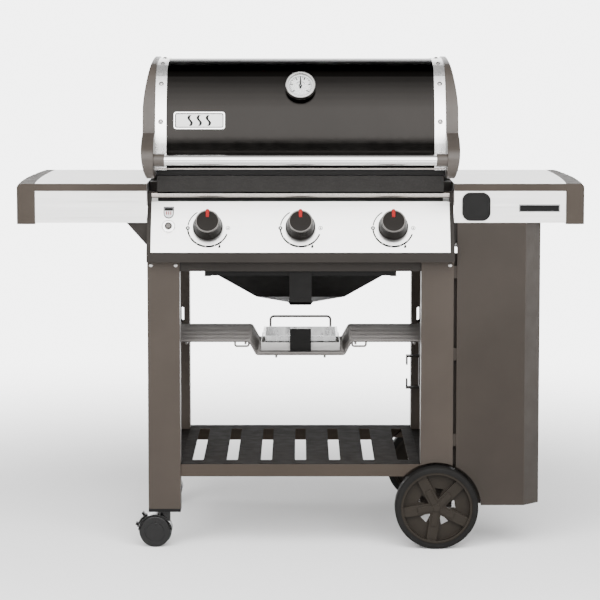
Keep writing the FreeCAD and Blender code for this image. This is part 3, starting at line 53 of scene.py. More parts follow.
# ---- material kit ----
class Shader:
    """One Principled material with its node tree, built a step at a time."""

    def __init__(self, name, **values):
        self.material = bpy.data.materials.new(name)
        self.material.use_nodes = True
        self.tree = self.material.node_tree
        self.surface = self.tree.nodes["Principled BSDF"]
        for socket, value in values.items():
            self.surface.inputs[socket.replace("_", " ")].default_value = value
        self.where = self.add("ShaderNodeTexCoord").outputs["Object"]

    def add(self, kind, **settings):
        node = self.tree.nodes.new(kind)
        for key, value in settings.items():
            setattr(node, key, value)
        return node

    def link(self, source, target):
        self.tree.links.new(source, target)

    def noise(self, scale, stretch=(1, 1, 1), detail=3.0, rough=0.5):
        """Noise over the object's own space, from 0 to 1."""
        place = self.add("ShaderNodeMapping")
        place.inputs["Scale"].default_value = stretch
        self.link(self.where, place.inputs["Vector"])
        made = self.add("ShaderNodeTexNoise")
        made.inputs["Scale"].default_value = scale
        made.inputs["Detail"].default_value = detail
        made.inputs["Roughness"].default_value = rough
        self.link(place.outputs["Vector"], made.inputs["Vector"])
        return made.outputs["Fac"]

    def ramp(self, fac, stops):
        """A colour ramp through (position, colour) stops."""
        made = self.add("ShaderNodeValToRGB")
        self.link(fac, made.inputs["Fac"])
        elements = made.color_ramp.elements
        while len(elements) < len(stops):
            elements.new(0.5)
        for element, (place, colour) in zip(elements, stops):
            element.position = place
            element.color = (*colour, 1.0)
        return made.outputs["Color"]

    def spread(self, fac, low, high):
        """Maps 0.3 to 0.7 of a noise onto a range of values."""
        made = self.add("ShaderNodeMapRange")
        made.inputs["From Min"].default_value = 0.3
        made.inputs["From Max"].default_value = 0.7
        made.inputs["To Min"].default_value = low
        made.inputs["To Max"].default_value = high
        self.link(fac, made.inputs["Value"])
        return made.outputs["Result"]

    def mix(self, fac, first, second):
        """Blends two colour outputs by a factor."""
        made = self.add("ShaderNodeMix", data_type="RGBA")
        self.link(fac, made.inputs["Factor"])
        self.link(first, made.inputs["A"])
        self.link(second, made.inputs["B"])
        return made.outputs["Result"]

    def edges(self, radius):
        """From 0 on a face to 1 along a sharp outer edge."""
        soft = self.add("ShaderNodeBevel", samples=BEVEL_SAMPLES)
        soft.inputs["Radius"].default_value = radius
        sharp = self.add("ShaderNodeNewGeometry")
        dot = self.add("ShaderNodeVectorMath", operation="DOT_PRODUCT")
        self.link(soft.outputs["Normal"], dot.inputs[0])
        self.link(sharp.outputs["Normal"], dot.inputs[1])
        made = self.add("ShaderNodeMapRange")
        made.inputs["From Min"].default_value = 0.995
        made.inputs["From Max"].default_value = 0.90
        self.link(dot.outputs["Value"], made.inputs["Value"])
        return made.outputs["Result"]

    def upward(self):
        """1 on faces that look up, 0 on the rest."""
        split = self.add("ShaderNodeSeparateXYZ")
        self.link(self.add("ShaderNodeNewGeometry").outputs["Normal"], split.inputs[0])
        made = self.add("ShaderNodeMapRange")
        made.inputs["From Min"].default_value = 0.5
        made.inputs["From Max"].default_value = 0.9
        self.link(split.outputs["Z"], made.inputs["Value"])
        return made.outputs["Result"]

    def colour(self, output):
        self.link(output, self.surface.inputs["Base Color"])

    def roughness(self, output):
        self.link(output, self.surface.inputs["Roughness"])

    def bump(self, heights, soften=0.0):
        """Bump from (height output, strength, distance) layers, over edges softened by a radius."""
        normal = None
        if soften:
            soft = self.add("ShaderNodeBevel", samples=BEVEL_SAMPLES)
            soft.inputs["Radius"].default_value = soften
            normal = soft.outputs["Normal"]
        for height, strength, distance in heights:
            made = self.add("ShaderNodeBump")
            made.inputs["Strength"].default_value = strength
            made.inputs["Distance"].default_value = distance
            self.link(height, made.inputs["Height"])
            if normal is not None:
                self.link(normal, made.inputs["Normal"])
            normal = made.outputs["Normal"]
        self.link(normal, self.surface.inputs["Normal"])


def tone(colour, factor):
    """A lighter or darker version of a colour."""
    return tuple(min(1.0, c * factor) for c in colour)


def coated(name, colour, rough=0.42, vary=0.12, grain=900.0, grain_depth=0.25, wear_and_highlight=0.0, soften=0.8,
           specular=0.12, top=None):
    """Powder coat, paint or moulded plastic: broad tone drift, fine grain, lighter edges that are partly
    edge wear and partly a painted highlight along edges and folds and, where a top colour is given,
    faces that look up in that colour as painted shade."""
    s = Shader(name, Specular_IOR_Level=specular)
    drift = s.noise(5.0, detail=4.0)
    base = s.ramp(drift, [(0.3, tone(colour, 1.0 - vary)), (0.7, tone(colour, 1.0 + vary))])
    # Lighter edges: partly edge wear, partly a painted highlight along edges and folds.
    if wear_and_highlight:
        worn_and_highlit = s.ramp(s.noise(60.0), [(0.35, tone(colour, 1.3)), (0.7, tone(colour, 1.0 + wear_and_highlight))])
        base = s.mix(s.edges(WEAR_AND_HIGHLIGHT_WIDTH), base, worn_and_highlit)
    # Painted shade: faces that look up take the darker top colour.
    if top:
        shaded_top_colour = s.ramp(s.noise(9.0, detail=5.0), [(0.3, tone(top, 0.8)), (0.7, tone(top, 1.2))])
        base = s.mix(s.upward(), base, shaded_top_colour)
    s.colour(base)
    s.roughness(s.spread(s.noise(38.0, detail=5.0), rough - 0.06, rough + 0.08))
    s.bump([(s.noise(grain, detail=2.0), grain_depth, 0.4 * MM), (s.noise(14.0), 0.05, 1.5 * MM)],
           soften * MM)
    return s.material


def brushed(name, colour, rough=0.3, along="x", scale=260.0):
    """Sheet steel with fine brushing along one axis and faint cloudy marks."""
    s = Shader(name, Metallic=1.0)
    stretch = {"x": (0.012, 1, 1), "y": (1, 0.012, 1), "z": (1, 1, 0.012)}[along]
    lines = s.noise(scale, stretch, detail=4.0, rough=0.65)
    clouds = s.noise(9.0, detail=5.0, rough=0.6)
    fine = s.ramp(lines, [(0.3, tone(colour, 0.95)), (0.7, tone(colour, 1.05))])
    cloudy = s.ramp(clouds, [(0.35, tone(colour, 0.95)), (0.65, tone(colour, 1.025))])
    mixed = s.add("ShaderNodeMix", data_type="RGBA")
    mixed.inputs["Factor"].default_value = 0.4
    s.link(fine, mixed.inputs["A"])
    s.link(cloudy, mixed.inputs["B"])
    s.colour(mixed.outputs["Result"])
    s.roughness(s.spread(lines, rough - 0.05, rough + 0.08))
    s.bump([(lines, 0.12, 0.15 * MM)], 0.6 * MM)
    return s.material


def enamel(name, sheen):
    """Deep black gloss with the slight wave of a fired coat, and dark where it is seen edge-on."""
    s = Shader(name, Metallic=1.0, Specular_Tint=(0.05, 0.05, 0.05, 1.0))
    s.colour(s.ramp(s.noise(3.0), [(0.3, tone(sheen, 0.9)), (0.75, tone(sheen, 1.1))]))
    s.roughness(s.spread(s.noise(55.0, detail=6.0), 0.11, 0.17))
    s.bump([(s.noise(16.0, detail=1.0), 0.02, 0.6 * MM), (s.noise(420.0, detail=1.0), 0.015, 0.1 * MM)])
    return s.material


def polished(name, colour, rough):
    """Chrome or polished metal with faint wiping marks."""
    s = Shader(name, Metallic=1.0)
    marks = s.noise(120.0, (0.2, 1, 1), detail=5.0)
    s.colour(s.ramp(marks, [(0.3, tone(colour, 0.95)), (0.7, colour)]))
    s.roughness(s.spread(marks, rough - 0.03, rough + 0.06))
    s.bump([(marks, 0.03, 0.1 * MM)], 0.5 * MM)
    return s.material


def cast(name, colour, rough):
    """A sand-cast or rough-moulded face: coarse grain over broad unevenness."""
    s = Shader(name, Specular_IOR_Level=0.15)
    grit = s.noise(260.0, rough=0.7)
    s.colour(s.ramp(grit, [(0.32, tone(colour, 0.7)), (0.55, colour), (0.72, tone(colour, 1.35))]))
    s.roughness(s.spread(s.noise(25.0), rough - 0.08, rough + 0.1))
    s.bump([(grit, 0.6, 0.6 * MM), (s.noise(30.0), 0.1, 1.5 * MM)], 0.8 * MM)
    return s.material


def foil(name):
    """Thin crinkled aluminium."""
    s = Shader(name, Metallic=1.0)
    folds = s.noise(90.0, (1, 1, 0.3), detail=4.0)
    s.colour(s.ramp(folds, [(0.3, (0.26, 0.26, 0.26)), (0.7, (0.46, 0.46, 0.46))]))
    s.roughness(s.spread(folds, 0.2, 0.38))
    s.bump([(folds, 0.5, 1.2 * MM)])
    return s.material


def clear_glass(name):
    """A thin clear lens with faint smears."""
    s = Shader(name, Transmission_Weight=1.0, IOR=1.12)
    s.colour(s.ramp(s.noise(20.0), [(0.3, (0.96, 0.97, 0.97)), (0.7, (1.0, 1.0, 1.0))]))
    s.roughness(s.spread(s.noise(60.0), 0.0, 0.03))
    return s.material


BRONZE = (0.0360, 0.0290, 0.0238)
DARK = (0.0145, 0.0122, 0.0104)
CASTING = (0.0370, 0.0305, 0.0255)
LOOKS = {
    "bronze_paint": coated("bronze_powder_coat", BRONZE, rough=0.45, wear_and_highlight=0.9),
    "dark_paint": coated("dark_powder_coat", DARK, rough=0.48, wear_and_highlight=0.8),
    "steel_sheet": brushed("brushed_stainless", (0.80, 0.79, 0.775), rough=0.36),
    "lid_enamel": enamel("black_enamel", (0.0150, 0.0139, 0.0130)),
    "casting_paint": coated("cast_bronze_paint", CASTING, rough=0.34, wear_and_highlight=0.6, grain=500.0,
                            grain_depth=0.12, soften=3.0, specular=0.3),
    "cap_plastic": coated("bronze_end_cap", CASTING, rough=0.5, wear_and_highlight=0.3, soften=1.5, specular=0.03),
    "bright_trim": polished("satin_chrome", (0.86, 0.85, 0.84), rough=0.2),
    "black_plastic": coated("black_plastic", (0.0035, 0.0034, 0.0033), rough=0.42, vary=0.2, wear_and_highlight=1.2),
    "knob_plastic": coated("knob_bronze", (0.0048, 0.0040, 0.0033), rough=0.3, wear_and_highlight=0.4, soften=1.0,
                           specular=0.04),
    "hub_plastic": coated("hub_bronze", (0.0150, 0.0120, 0.0090), rough=0.45, vary=0.2, wear_and_highlight=0.5, soften=1.5),
    "tyre_rubber": coated("tyre_rubber", (0.0060, 0.0056, 0.0052), rough=0.7, vary=0.3, grain=400.0,
                          grain_depth=0.5),
    "cast_firebox": cast("cast_firebox", (0.0090, 0.0080, 0.0072), rough=0.5),
    "black_steel": coated("black_steel", (0.0026, 0.0024, 0.0022), rough=0.38, vary=0.3, wear_and_highlight=1.0),
    "foil": foil("crinkled_foil"),
    "wire": brushed("plated_wire", (0.120, 0.112, 0.106), rough=0.34, scale=120.0),
    "plain_steel": brushed("mill_steel", (0.42, 0.41, 0.40), rough=0.4, along="y"),
    "grate_iron": cast("grate_iron", (0.0035, 0.0034, 0.0033), rough=0.4),
    "valve_brass": brushed("valve_brass", (0.70, 0.50, 0.24), rough=0.35),
    "ceramic": coated("ceramic_white", (0.80, 0.78, 0.72), rough=0.25, vary=0.04),
    "badge_white": coated("badge_white", (0.62, 0.62, 0.61), rough=0.22, vary=0.03, grain_depth=0.04),
    "needle_black": coated("needle_black", (0.01, 0.01, 0.01), rough=0.4),
}


# Looks of one node or one added piece.
PRINT = coated("panel_print", (0.002, 0.002, 0.002), rough=0.6, vary=0.2, grain_depth=0.05)
POINTER = coated("pointer_red", (0.20, 0.0030, 0.0028), rough=0.35, vary=0.08, grain_depth=0.08)
KNOB_FACE = coated("knob_face", (0.0085, 0.0071, 0.0060), rough=0.34, vary=0.06, grain_depth=0.06,
                   specular=0.06)
LENS = clear_glass("thermometer_glass")
LIGHT_GREY = coated("light_grey_print", (0.55, 0.55, 0.55), rough=0.4, vary=0.05, grain_depth=0.05)
BAR_CHROME = polished("handle_chrome", (0.62, 0.61, 0.60), rough=0.14)
RING_METAL = polished("knob_ring_metal", (0.10, 0.095, 0.09), rough=0.2)
BUTTON_METAL = polished("button_metal", (0.070, 0.066, 0.062), rough=0.16)
RAIL_STEEL = brushed("top_rail_steel", (0.34, 0.31, 0.29), rough=0.24)
BAND_METAL = brushed("trim_band_metal", (0.86, 0.85, 0.84), rough=0.26, along="z", scale=180.0)
# The bottom shelf: a lighter copy of the bronze, with painted shade in a much darker colour on its faces that
# look up.
SHELF_PAINT_SHADED_TOP = coated("shelf_powder_coat_shaded_top", tone(BRONZE, 1.15), rough=0.75, vary=0.05, wear_and_highlight=0.8,
                     specular=0.02, top=(0.0075, 0.0060, 0.0050))
# The tank panel: the legs' bronze made darker as painted shade; its lighter edges are partly wear and partly
# a painted highlight along its fold.
TANK_PAINT_SHADED = coated("tank_panel_shaded_powder_coat", tone(BRONZE, 0.68), rough=0.45, wear_and_highlight=0.9)
CASE_METAL = polished("thermometer_chrome", (0.34, 0.33, 0.32), rough=0.14)
SCREW_METAL = polished("screw_metal", (0.30, 0.29, 0.28), rough=0.2)
CASTER_GLOSS = coated("caster_gloss", (0.0022, 0.0020, 0.0019), rough=0.24, vary=0.2, wear_and_highlight=0.6, specular=0.3)
OWN_LOOKS = {
    "lid_handle_bar": BAR_CHROME,
    "igniter_button": BUTTON_METAL,
    "panel_top_rail": RAIL_STEEL,
    "lid_trim_bands": BAND_METAL,
    "bottom_shelf": SHELF_PAINT_SHADED_TOP,
    "tank_panel": TANK_PAINT_SHADED,
    "lid_screws": SCREW_METAL,
    "thermometer_case": CASE_METAL,
    "caster_housing_front": CASTER_GLOSS,
    "caster_housing_rear": CASTER_GLOSS,
    "caster_wheels_front": CASTER_GLOSS,
    "caster_wheels_rear": CASTER_GLOSS,
}


def dress_nodes():
    """Gives every CAD node the look of its material slot, or its own look in that slot's material."""
    for part in record["subparts"]:
        node = nodes[part["node"]]
        node.data.materials.clear()
        node.data.materials.append(OWN_LOOKS.get(part["node"], LOOKS[part["material_slot"]]))


dress_nodes()


# ---- piece kit ----
JOINTS = {joint["name"]: joint for joint in record["behaviour"]["joints"]}
SMOOTH_ANGLE = math.radians(35)


def finish_piece(name, form, body, look, bevel=0.0, segments=2):
    """Turns a bmesh into a riding piece with a look, softened edges and smooth shading."""
    bmesh.ops.recalc_face_normals(form, faces=form.faces[:])
    for face in form.faces:
        face.smooth = True
    for edge in form.edges:
        edge.smooth = not (len(edge.link_faces) == 2 and edge.calc_face_angle(0.0) > SMOOTH_ANGLE)
    mesh = bpy.data.meshes.new(name)
    form.to_mesh(mesh)
    form.free()
    piece = bpy.data.objects.new(name, mesh)
    bpy.context.scene.collection.objects.link(piece)
    mesh.materials.append(look)
    if bevel:
        soften = piece.modifiers.new("soften", "BEVEL")
        soften.width, soften.segments = bevel, segments
        soften.limit_method = "ANGLE"
        soften.harden_normals = True
    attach(piece, body)


def frame_at(place, normal):
    """A matrix whose Z is the normal and whose X stays level, for pieces standing on a leaning face."""
    out = Vector(normal).normalized()
    across = Vector((1, 0, 0))
    up = out.cross(across)
    turn = Matrix((across, up, out)).transposed().to_4x4()
    return Matrix.Translation(Vector(place)) @ turn


def lathe(form, place, profile, steps=64, closed=True):
    """Revolves (radius, height) points about the Z of a matrix."""
    rings = []
    for radius, height in profile:
        if radius < 1e-6:
            rings.append([form.verts.new(place @ Vector((0, 0, height)))])
        else:
            rings.append([form.verts.new(place @ Vector((radius * math.cos(a), radius * math.sin(a), height)))
                          for a in (2 * math.pi * i / steps for i in range(steps))])
    pairs = list(zip(rings, rings[1:]))
    if closed:
        pairs.append((rings[-1], rings[0]))
    for low, high in pairs:
        for i in range(steps):
            j = (i + 1) % steps
            corners = [low[i % len(low)], low[j % len(low)], high[j % len(high)], high[i % len(high)]]
            unique = list(dict.fromkeys(corners))
            if len(unique) > 2:
                form.faces.new(unique)


def plate(form, place, outline, low, high):
    """A flat plate: an outline of (x, y) points between two heights along the Z of a matrix."""
    bottom = [form.verts.new(place @ Vector((x, y, low))) for x, y in outline]
    top = [form.verts.new(place @ Vector((x, y, high))) for x, y in outline]
    form.faces.new(bottom[::-1])
    form.faces.new(top)
    for i in range(len(outline)):
        j = (i + 1) % len(outline)
        form.faces.new([bottom[i], bottom[j], top[j], top[i]])


def round_rect(width, height, radius):
    """The outline of a rectangle with round corners."""
    points, steps = [], 6
    for k, (sx, sy) in enumerate(((1, 1), (-1, 1), (-1, -1), (1, -1))):
        for i in range(steps + 1):
            a = math.pi / 2 * (k + i / steps)
            points.append((sx * (width / 2 - radius) + radius * math.cos(a),
                           sy * (height / 2 - radius) + radius * math.sin(a)))
    return points


def arc_band(form, place, radius, width, start, end, low, high, steps=48):
    """A curved strip between two angles in degrees."""
    angles = [math.radians(start + (end - start) * i / steps) for i in range(steps + 1)]
    outer = [((radius + width / 2) * math.cos(a), (radius + width / 2) * math.sin(a)) for a in angles]
    inner = [((radius - width / 2) * math.cos(a), (radius - width / 2) * math.sin(a)) for a in angles]
    for i in range(steps):
        plate(form, place, [outer[i], outer[i + 1], inner[i + 1], inner[i]], low, high)
    bmesh.ops.remove_doubles(form, verts=form.verts[:], dist=1e-6)


def bar_outline(half_width, low, high):
    """The outline of an upright bar centred on the Y of a matrix."""
    return [(-half_width, low), (half_width, low), (half_width, high), (-half_width, high)]


def ring_plate(form, place, outer, inner, low, high):
    """A flat frame between two outlines with the same number of points."""
    loops = [[form.verts.new(place @ Vector((x, y, z))) for x, y in outline]
             for outline, z in ((outer, low), (outer, high), (inner, high), (inner, low))]
    count = len(outer)
    for near, far in zip(loops, loops[1:] + loops[:1]):
        for i in range(count):
            j = (i + 1) % count
            form.faces.new([near[i], near[j], far[j], far[i]])


def furthest(name, at):
    """How far the node's outermost vertex stands out along a matrix's Z."""
    flat = at.inverted()
    return max((flat @ vertex.co).z for vertex in nodes[name].data.vertices)


# ---- controls ----
FACE_R = 0.029                         # face of a knob
SCALE_R = 0.0484                       # printed scale round a knob
SCALE_INK = 0.00025
SCALE_DOT_R = 0.0050
MARK_INK = 0.0002                      # each printed layer of a small mark
EMBLEM_RISE = 0.037                    # emblem above the push button
EMBLEM_HALF = 0.0125
EMBLEM_DEPTH = 0.0150


def knob_details(side):
    """Face, metal ring and pointer of one knob."""
    turn = JOINTS["knob_turn_" + side]
    at = frame_at(turn["pos_m"], turn["axis"])
    front = furthest("knob_" + side, at)
    form = bmesh.new()
    lathe(form, at, [(FACE_R - 0.0035, front - 0.001), (FACE_R - 0.003, front + 0.0004),
                     (FACE_R - 0.001, front + 0.0006), (FACE_R + 0.0002, front - 0.0008),
                     (FACE_R + 0.0006, front - 0.003), (FACE_R - 0.002, front - 0.003)])
    finish_piece("knob_ring_" + side, form, "knob_" + side, RING_METAL)
    form = bmesh.new()
    lathe(form, at, [(0, front - 0.001), (0, front + 0.0002), (0.012, front + 0.0001),
                     (FACE_R - 0.005, front + 0.0002), (FACE_R - 0.0032, front - 0.0002),
                     (FACE_R - 0.0032, front - 0.001)], closed=False)
    finish_piece("knob_face_" + side, form, "knob_" + side, KNOB_FACE)
    form = bmesh.new()
    plate(form, at, [(-0.0036, 0.010), (0.0036, 0.010), (0.0045, 0.0275), (0.0030, 0.0312),
                     (-0.0030, 0.0312), (-0.0045, 0.0275)], front - 0.004, front + 0.0016)
    finish_piece("knob_pointer_" + side, form, "knob_" + side, POINTER, 0.0008, 3)


def knob_scale(side):
    """The printed dial around one knob: a tapering arc with a plain symbol at each end."""
    turn = JOINTS["knob_turn_" + side]
    at = frame_at(turn["pos_m"], turn["axis"])
    form = bmesh.new()
    arc_band(form, at, SCALE_R, 0.0026, 122, 172, 0.0, SCALE_INK, 24)
    for i in range(6):
        start = 186 + 26 * i
        arc_band(form, at, SCALE_R, 0.0036 + 0.0006 * min(i, 5 - i), start, start + 25.0, 0.0, SCALE_INK, 12)
    for x, inner, outer in ((-SCALE_R, 0.0016, SCALE_DOT_R), (SCALE_R, 0.0040, 0.0052)):
        lathe(form, at @ Matrix.Translation((x, 0, 0)),
              [(inner, 0.0), (inner, SCALE_INK), (outer, SCALE_INK), (outer, 0.0)], 24)
    flame = [(0, 0.0052), (0.0030, 0.0012), (0.0032, -0.0020), (0.0016, -0.0044), (-0.0016, -0.0044),
             (-0.0032, -0.0020), (-0.0018, 0.0008)]
    small = [(x * 0.55, y * 0.55) for x, y in flame]
    plate(form, at @ Matrix.Translation((SCALE_R, 0, 0)), small, 0.0, SCALE_INK)
    plate(form, at @ Matrix.Translation((SCALE_R * 0.58, -SCALE_R * 0.98, 0)), flame, 0.0, SCALE_INK)
    finish_piece("knob_scale_" + side, form, "cart", PRINT)


def igniter_marks():
    """A plain shield emblem above the push button."""
    low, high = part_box("igniter_socket")
    turn = JOINTS["knob_turn_left"]
    at = frame_at(turn["pos_m"], turn["axis"])
    middle = at.inverted() @ ((low + high) / 2)
    place = at @ Matrix.Translation((middle.x, middle.y + EMBLEM_RISE, 0))
    layers = [0.0003, 0.0003 + MARK_INK, 0.0003 + 2 * MARK_INK]

    def shield(scale):
        points = [(-EMBLEM_HALF, EMBLEM_DEPTH), (EMBLEM_HALF, EMBLEM_DEPTH), (EMBLEM_HALF, -0.0010)]
        points += [(EMBLEM_HALF * math.cos(a), -0.0010 - EMBLEM_DEPTH * math.sin(a) ** 0.85)
                   for a in (math.pi * i / 10 for i in range(1, 10))]
        points.append((-EMBLEM_HALF, -0.0010))
        return [(x * scale, y * scale) for x, y in points]

    form = bmesh.new()
    plate(form, place, shield(1.0), 0.0, layers[0])
    finish_piece("shield_back", form, "cart", PRINT)
    form = bmesh.new()
    plate(form, place, shield(0.84), layers[0], layers[1])
    finish_piece("shield_face", form, "cart", LIGHT_GREY)
    form = bmesh.new()
    plate(form, place, bar_outline(0.0100, 0.0045, 0.0120), layers[1], layers[2])
    finish_piece("shield_head", form, "cart", PRINT)
    form = bmesh.new()
    for x in (-0.0050, 0.0, 0.0050):
        plate(form, place @ Matrix.Translation((x, 0, 0)), bar_outline(0.0012, -0.0060, 0.0030),
              layers[1], layers[2])
    finish_piece("shield_bars", form, "cart", POINTER)


for knob_side in ("left", "centre", "right"):
    knob_details(knob_side)
    knob_scale(knob_side)
igniter_marks()


# ---- lid ----
DIAL_START, DIAL_SWEEP = -40, 260      # degrees of the thermometer's scale
DIAL_TICKS = 21
DIAL_ARC_R = 0.0265
TICK_R = 0.0255
LENS_R = 0.0305
BADGE_LEAN = math.radians(13.0)        # the badge leans back with the lid
WAVES, WAVE_STEPS = 3, 16
WAVE_PITCH, WAVE_SPAN, WAVE_SWING, WAVE_HALF = 0.022, 0.026, 0.0036, 0.0030
CLIP_HALF, CLIP_T = 0.0262, 0.0012     # sleeve on the catch pan's grip
LIP_T = 0.003


def thermometer_details():
    """Plain tick marks on the dial and the glass over it."""
    turn = JOINTS["needle_turn"]
    at = frame_at(turn["pos_m"], turn["axis"])
    dial_top = furthest("thermometer_dial", at)
    face = dial_top - 0.004
    ink = face + MARK_INK
    form = bmesh.new()
    arc_band(form, at, DIAL_ARC_R, 0.0010, DIAL_START, DIAL_START + DIAL_SWEEP, face, ink)
    for i in range(DIAL_TICKS):
        turned = at @ Matrix.Rotation(math.radians(DIAL_START + DIAL_SWEEP * i / (DIAL_TICKS - 1)), 4, "Z")
        length, half = (0.0030, 0.0006) if i % 4 else (0.0070, 0.0015)
        inner = TICK_R - length
        plate(form, turned, [(inner, -half), (TICK_R, -half), (TICK_R, half), (inner, half)], face, ink)
    arc_band(form, at, 0.0120, 0.0010, 30, 150, face, ink, 24)
    finish_piece("dial_marks", form, "lid", PRINT)
    form = bmesh.new()
    lathe(form, at, [(0, dial_top + 0.0030), (LENS_R * 0.5, dial_top + 0.0026), (LENS_R, dial_top + 0.0012),
                     (LENS_R, dial_top + 0.0002), (LENS_R * 0.5, dial_top + 0.0016), (0, dial_top + 0.0020)],
          closed=False)
    finish_piece("thermometer_lens", form, "lid", LENS)


def badge_details():
    """A bright frame and a dark line round the badge, with plain heat waves between them."""
    low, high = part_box("badge_plate")
    at = frame_at((low + high) / 2, (0, -math.cos(BADGE_LEAN), math.sin(BADGE_LEAN)))
    top = furthest("badge_plate", at)
    ink = top + 0.0003
    width = high.x - low.x
    height = (high.z - low.z) / math.cos(BADGE_LEAN) * 0.97
    form = bmesh.new()
    ring_plate(form, at, round_rect(width, height, 0.0065), round_rect(width - 0.006, height - 0.006, 0.004),
               top - 0.002, top + 0.0012)
    finish_piece("badge_frame", form, "lid", LOOKS["bright_trim"], 0.0004)
    form = bmesh.new()
    ring_plate(form, at, round_rect(width - 0.0065, height - 0.0065, 0.004),
               round_rect(width - 0.0105, height - 0.0105, 0.003), top, ink)
    for k in range(WAVES):
        x0 = (k - (WAVES - 1) / 2) * WAVE_PITCH
        centre = [(x0 + WAVE_SWING * math.sin(2 * math.pi * i / WAVE_STEPS),
                   -WAVE_SPAN / 2 + WAVE_SPAN * i / WAVE_STEPS) for i in range(WAVE_STEPS + 1)]
        for (xa, ya), (xb, yb) in zip(centre, centre[1:]):
            plate(form, at, [(xa + WAVE_HALF, ya), (xb + WAVE_HALF, yb), (xb - WAVE_HALF, yb),
                             (xa - WAVE_HALF, ya)], top, ink)
    finish_piece("badge_waves", form, "lid", PRINT)


def lid_lip():
    """The dark folded lip along the lid's front foot, with a bright bead along it."""
    low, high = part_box("lid_shroud")
    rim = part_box("cookbox")[1].z
    for name, out, z0, z1, slot, look in (
            ("lid_lip", 0.0010, rim + 0.0015, low.z + 0.004, "black_steel", LOOKS["black_steel"]),
            ("lid_bead", 0.0030, low.z + 0.001, low.z + 0.0045, "bright_trim", RAIL_STEEL)):
        form = bmesh.new()
        at = frame_at((0, low.y - out + LIP_T, (z0 + z1) / 2), (0, -1, 0))
        half = (z1 - z0) / 2
        plate(form, at, bar_outline(high.x - 0.002, -half, half), 0, LIP_T)
        finish_piece(name, form, "lid", look, 0.0006)


def pan_clip():
    """The dark sleeve over the catch pan's front grip."""
    low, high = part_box("catch_pan")
    form = bmesh.new()
    at = frame_at(((low.x + high.x) / 2, low.y, (low.z + high.z) / 2), (0, -1, 0))
    rise = (high.z - low.z) / 2
    plate(form, at, bar_outline(CLIP_HALF, -rise, rise), 0.0001, CLIP_T)
    finish_piece("pan_clip", form, "catch_pan", LOOKS["black_steel"], 0.0004)


thermometer_details()
badge_details()
lid_lip()
pan_clip()


# ---- side tables ----
PLATE_W, PLATE_H = 0.098, 0.018        # blank name plate
PLATE_ASIDE, PLATE_RISE = 0.118, 0.030  # its centre from the pod cover's lower right corner


def table_details():
    """A raised ring on the pod cover and a blank name plate with a light border."""
    low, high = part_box("pod_cover")
    size = high.x - low.x
    at = frame_at(((low.x + high.x) / 2, low.y, (low.z + high.z) / 2), (0, -1, 0))
    form = bmesh.new()
    ring_plate(form, at, round_rect(size - 0.006, size - 0.006, 0.017),
               round_rect(size - 0.011, size - 0.011, 0.015), -0.001, 0.0008)
    finish_piece("pod_ring", form, "cart", LOOKS["black_plastic"], 0.0003)
    skirt_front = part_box("right_shelf_top")[0].y
    at = frame_at((high.x + PLATE_ASIDE, skirt_front, low.z + PLATE_RISE), (0, -1, 0))
    form = bmesh.new()
    plate(form, at, round_rect(PLATE_W, PLATE_H, 0.001), -0.0005, 0.0012)
    finish_piece("name_plate", form, "cart", PRINT, 0.0003)
    form = bmesh.new()
    ring_plate(form, at, round_rect(PLATE_W - 0.002, PLATE_H - 0.002, 0.0008),
               round_rect(PLATE_W - 0.0032, PLATE_H - 0.0032, 0.0006), 0.001, 0.0014)
    finish_piece("name_plate_border", form, "cart", LIGHT_GREY)


table_details()


# ---- stage ----
WHITE = 5.4                            # brightness of the studio behind the grill
CEILING = 0.5                          # brightness overhead and in front
BACK_LIFT = 0.28                       # how far the bright part climbs behind the grill
FLOOR_R = 6.0
FLOOR_SOLID, FLOOR_GONE = 0.8, 3.4     # the floor fades into the background between these
KEY_STRIPS, KEY_FULL = 10, 5           # strips of the key light, and how many have full strength
KEY_START, KEY_STEP = 5.5, 8.0         # elevation of the first strip and the step to the next, degrees
KEY_REACH, KEY_W, KEY_H, KEY_RADIANCE = 4.7, 7.6, 0.66, 7.6
KEY_AIM = Vector((0.0, -0.2, 1.05))
FILL_AIM = Vector((0.0, 0.0, 0.6))
FILL_OUT, FILL_BACK, FILL_HIGH, FILL_W, FILL_H = 4.6, 0.8, 2.4, 2.4, 3.0
LENS_MM, SENSOR_MM = 156.0, 36.0
EYE = (-0.0012, -6.526, 1.297)
EYE_TILT = math.radians(83.70)


def pale_floor():
    """The floor's material, which fades out away from the grill."""
    s = Shader("pale_floor", Specular_IOR_Level=0.1)
    s.colour(s.ramp(s.noise(0.6), [(0.3, (0.90, 0.90, 0.90)), (0.7, (0.92, 0.92, 0.92))]))
    s.roughness(s.spread(s.noise(6.0), 0.7, 0.8))
    far = s.add("ShaderNodeVectorMath", operation="LENGTH")
    s.link(s.where, far.inputs[0])
    fade = s.add("ShaderNodeMapRange", interpolation_type="SMOOTHSTEP")
    fade.inputs["From Min"].default_value = FLOOR_SOLID
    fade.inputs["From Max"].default_value = FLOOR_GONE
    fade.inputs["To Min"].default_value = 1.0
    fade.inputs["To Max"].default_value = 0.0
    s.link(far.outputs["Value"], fade.inputs["Value"])
    s.link(fade.outputs["Result"], s.surface.inputs["Alpha"])
    return s.material


def build_floor():
    """A pale round floor."""
    mesh = bpy.data.meshes.new("floor")
    form = bmesh.new()
    form.faces.new([form.verts.new((FLOOR_R * math.cos(a), FLOOR_R * math.sin(a), 0.0))
                    for a in (2 * math.pi * i / 96 for i in range(96))])
    form.to_mesh(mesh)
    form.free()
    floor = bpy.data.objects.new("floor", mesh)
    bpy.context.scene.collection.objects.link(floor)
    mesh.materials.append(pale_floor())


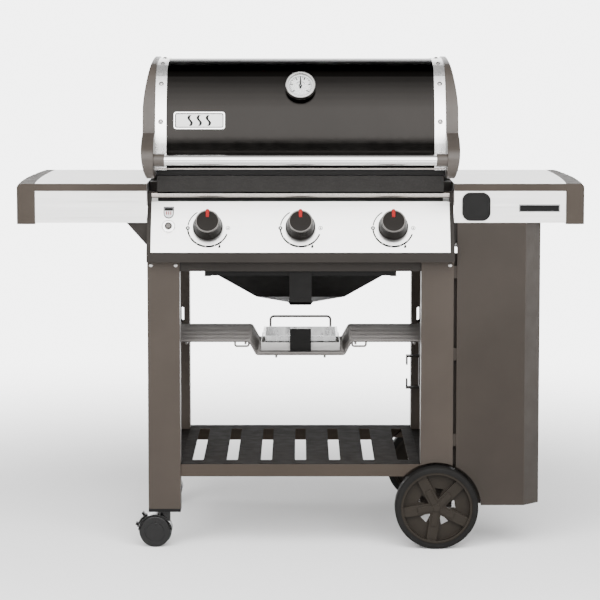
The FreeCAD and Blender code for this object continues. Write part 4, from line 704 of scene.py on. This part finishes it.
def build_world():
    """A white studio behind the grill that turns dim overhead and in front."""
    world = bpy.data.worlds.new("studio")
    bpy.context.scene.world = world
    world.use_nodes = True
    tree = world.node_tree
    back = tree.nodes["Background"]
    back.inputs["Color"].default_value = (1.0, 1.0, 1.0, 1.0)
    heading = tree.nodes.new("ShaderNodeTexCoord")
    split = tree.nodes.new("ShaderNodeSeparateXYZ")
    lift = tree.nodes.new("ShaderNodeMath")
    lift.operation = "MULTIPLY_ADD"
    lift.inputs[1].default_value = -BACK_LIFT
    rise = tree.nodes.new("ShaderNodeMapRange")
    rise.interpolation_type = "SMOOTHSTEP"
    rise.inputs["From Min"].default_value = 0.02
    rise.inputs["From Max"].default_value = 0.12
    rise.inputs["To Min"].default_value = WHITE
    rise.inputs["To Max"].default_value = CEILING
    for source, target in ((heading.outputs["Generated"], split.inputs[0]),
                           (split.outputs["Y"], lift.inputs[0]), (split.outputs["Z"], lift.inputs[2]),
                           (lift.outputs[0], rise.inputs["Value"]),
                           (rise.outputs["Result"], back.inputs["Strength"])):
        tree.links.new(source, target)


def softbox(name, place, aim, width, height, radiance):
    """A soft rectangular light that the camera doesn't see."""
    light = bpy.data.lights.new(name, "AREA")
    light.shape = "RECTANGLE"
    light.size, light.size_y = width, height
    light.energy = radiance * math.pi * width * height
    lamp = bpy.data.objects.new(name, light)
    bpy.context.scene.collection.objects.link(lamp)
    lamp.location = place
    lamp.visible_camera = False
    lamp.rotation_euler = (aim - Vector(place)).to_track_quat("-Z", "Y").to_euler()


def build_lights():
    """A tall curved key light in front, fading towards the top, and a dim fill on each side."""
    for i in range(KEY_STRIPS):
        angle = math.radians(KEY_START + KEY_STEP * i)
        place = KEY_AIM + KEY_REACH * Vector((0.0, -math.cos(angle), math.sin(angle)))
        strength = 1.0 if i < KEY_FULL else (KEY_STRIPS - i) / (KEY_FULL + 1)
        softbox("key_%d" % i, place, KEY_AIM, KEY_W, KEY_H, KEY_RADIANCE * strength)
    for name, x, radiance in (("left_fill", -FILL_OUT, 3.0), ("right_fill", FILL_OUT, 0.8)):
        softbox(name, (x, FILL_BACK, FILL_HIGH), FILL_AIM, FILL_W, FILL_H, radiance)


def build_camera():
    """A long lens a little above the lid."""
    camera = bpy.data.cameras.new("camera")
    camera.lens, camera.sensor_width = LENS_MM, SENSOR_MM
    eye = bpy.data.objects.new("camera", camera)
    bpy.context.scene.collection.objects.link(eye)
    eye.location = EYE
    eye.rotation_euler = (EYE_TILT, 0.0, 0.0)
    bpy.context.scene.camera = eye


build_floor()
build_world()
build_lights()
build_camera()
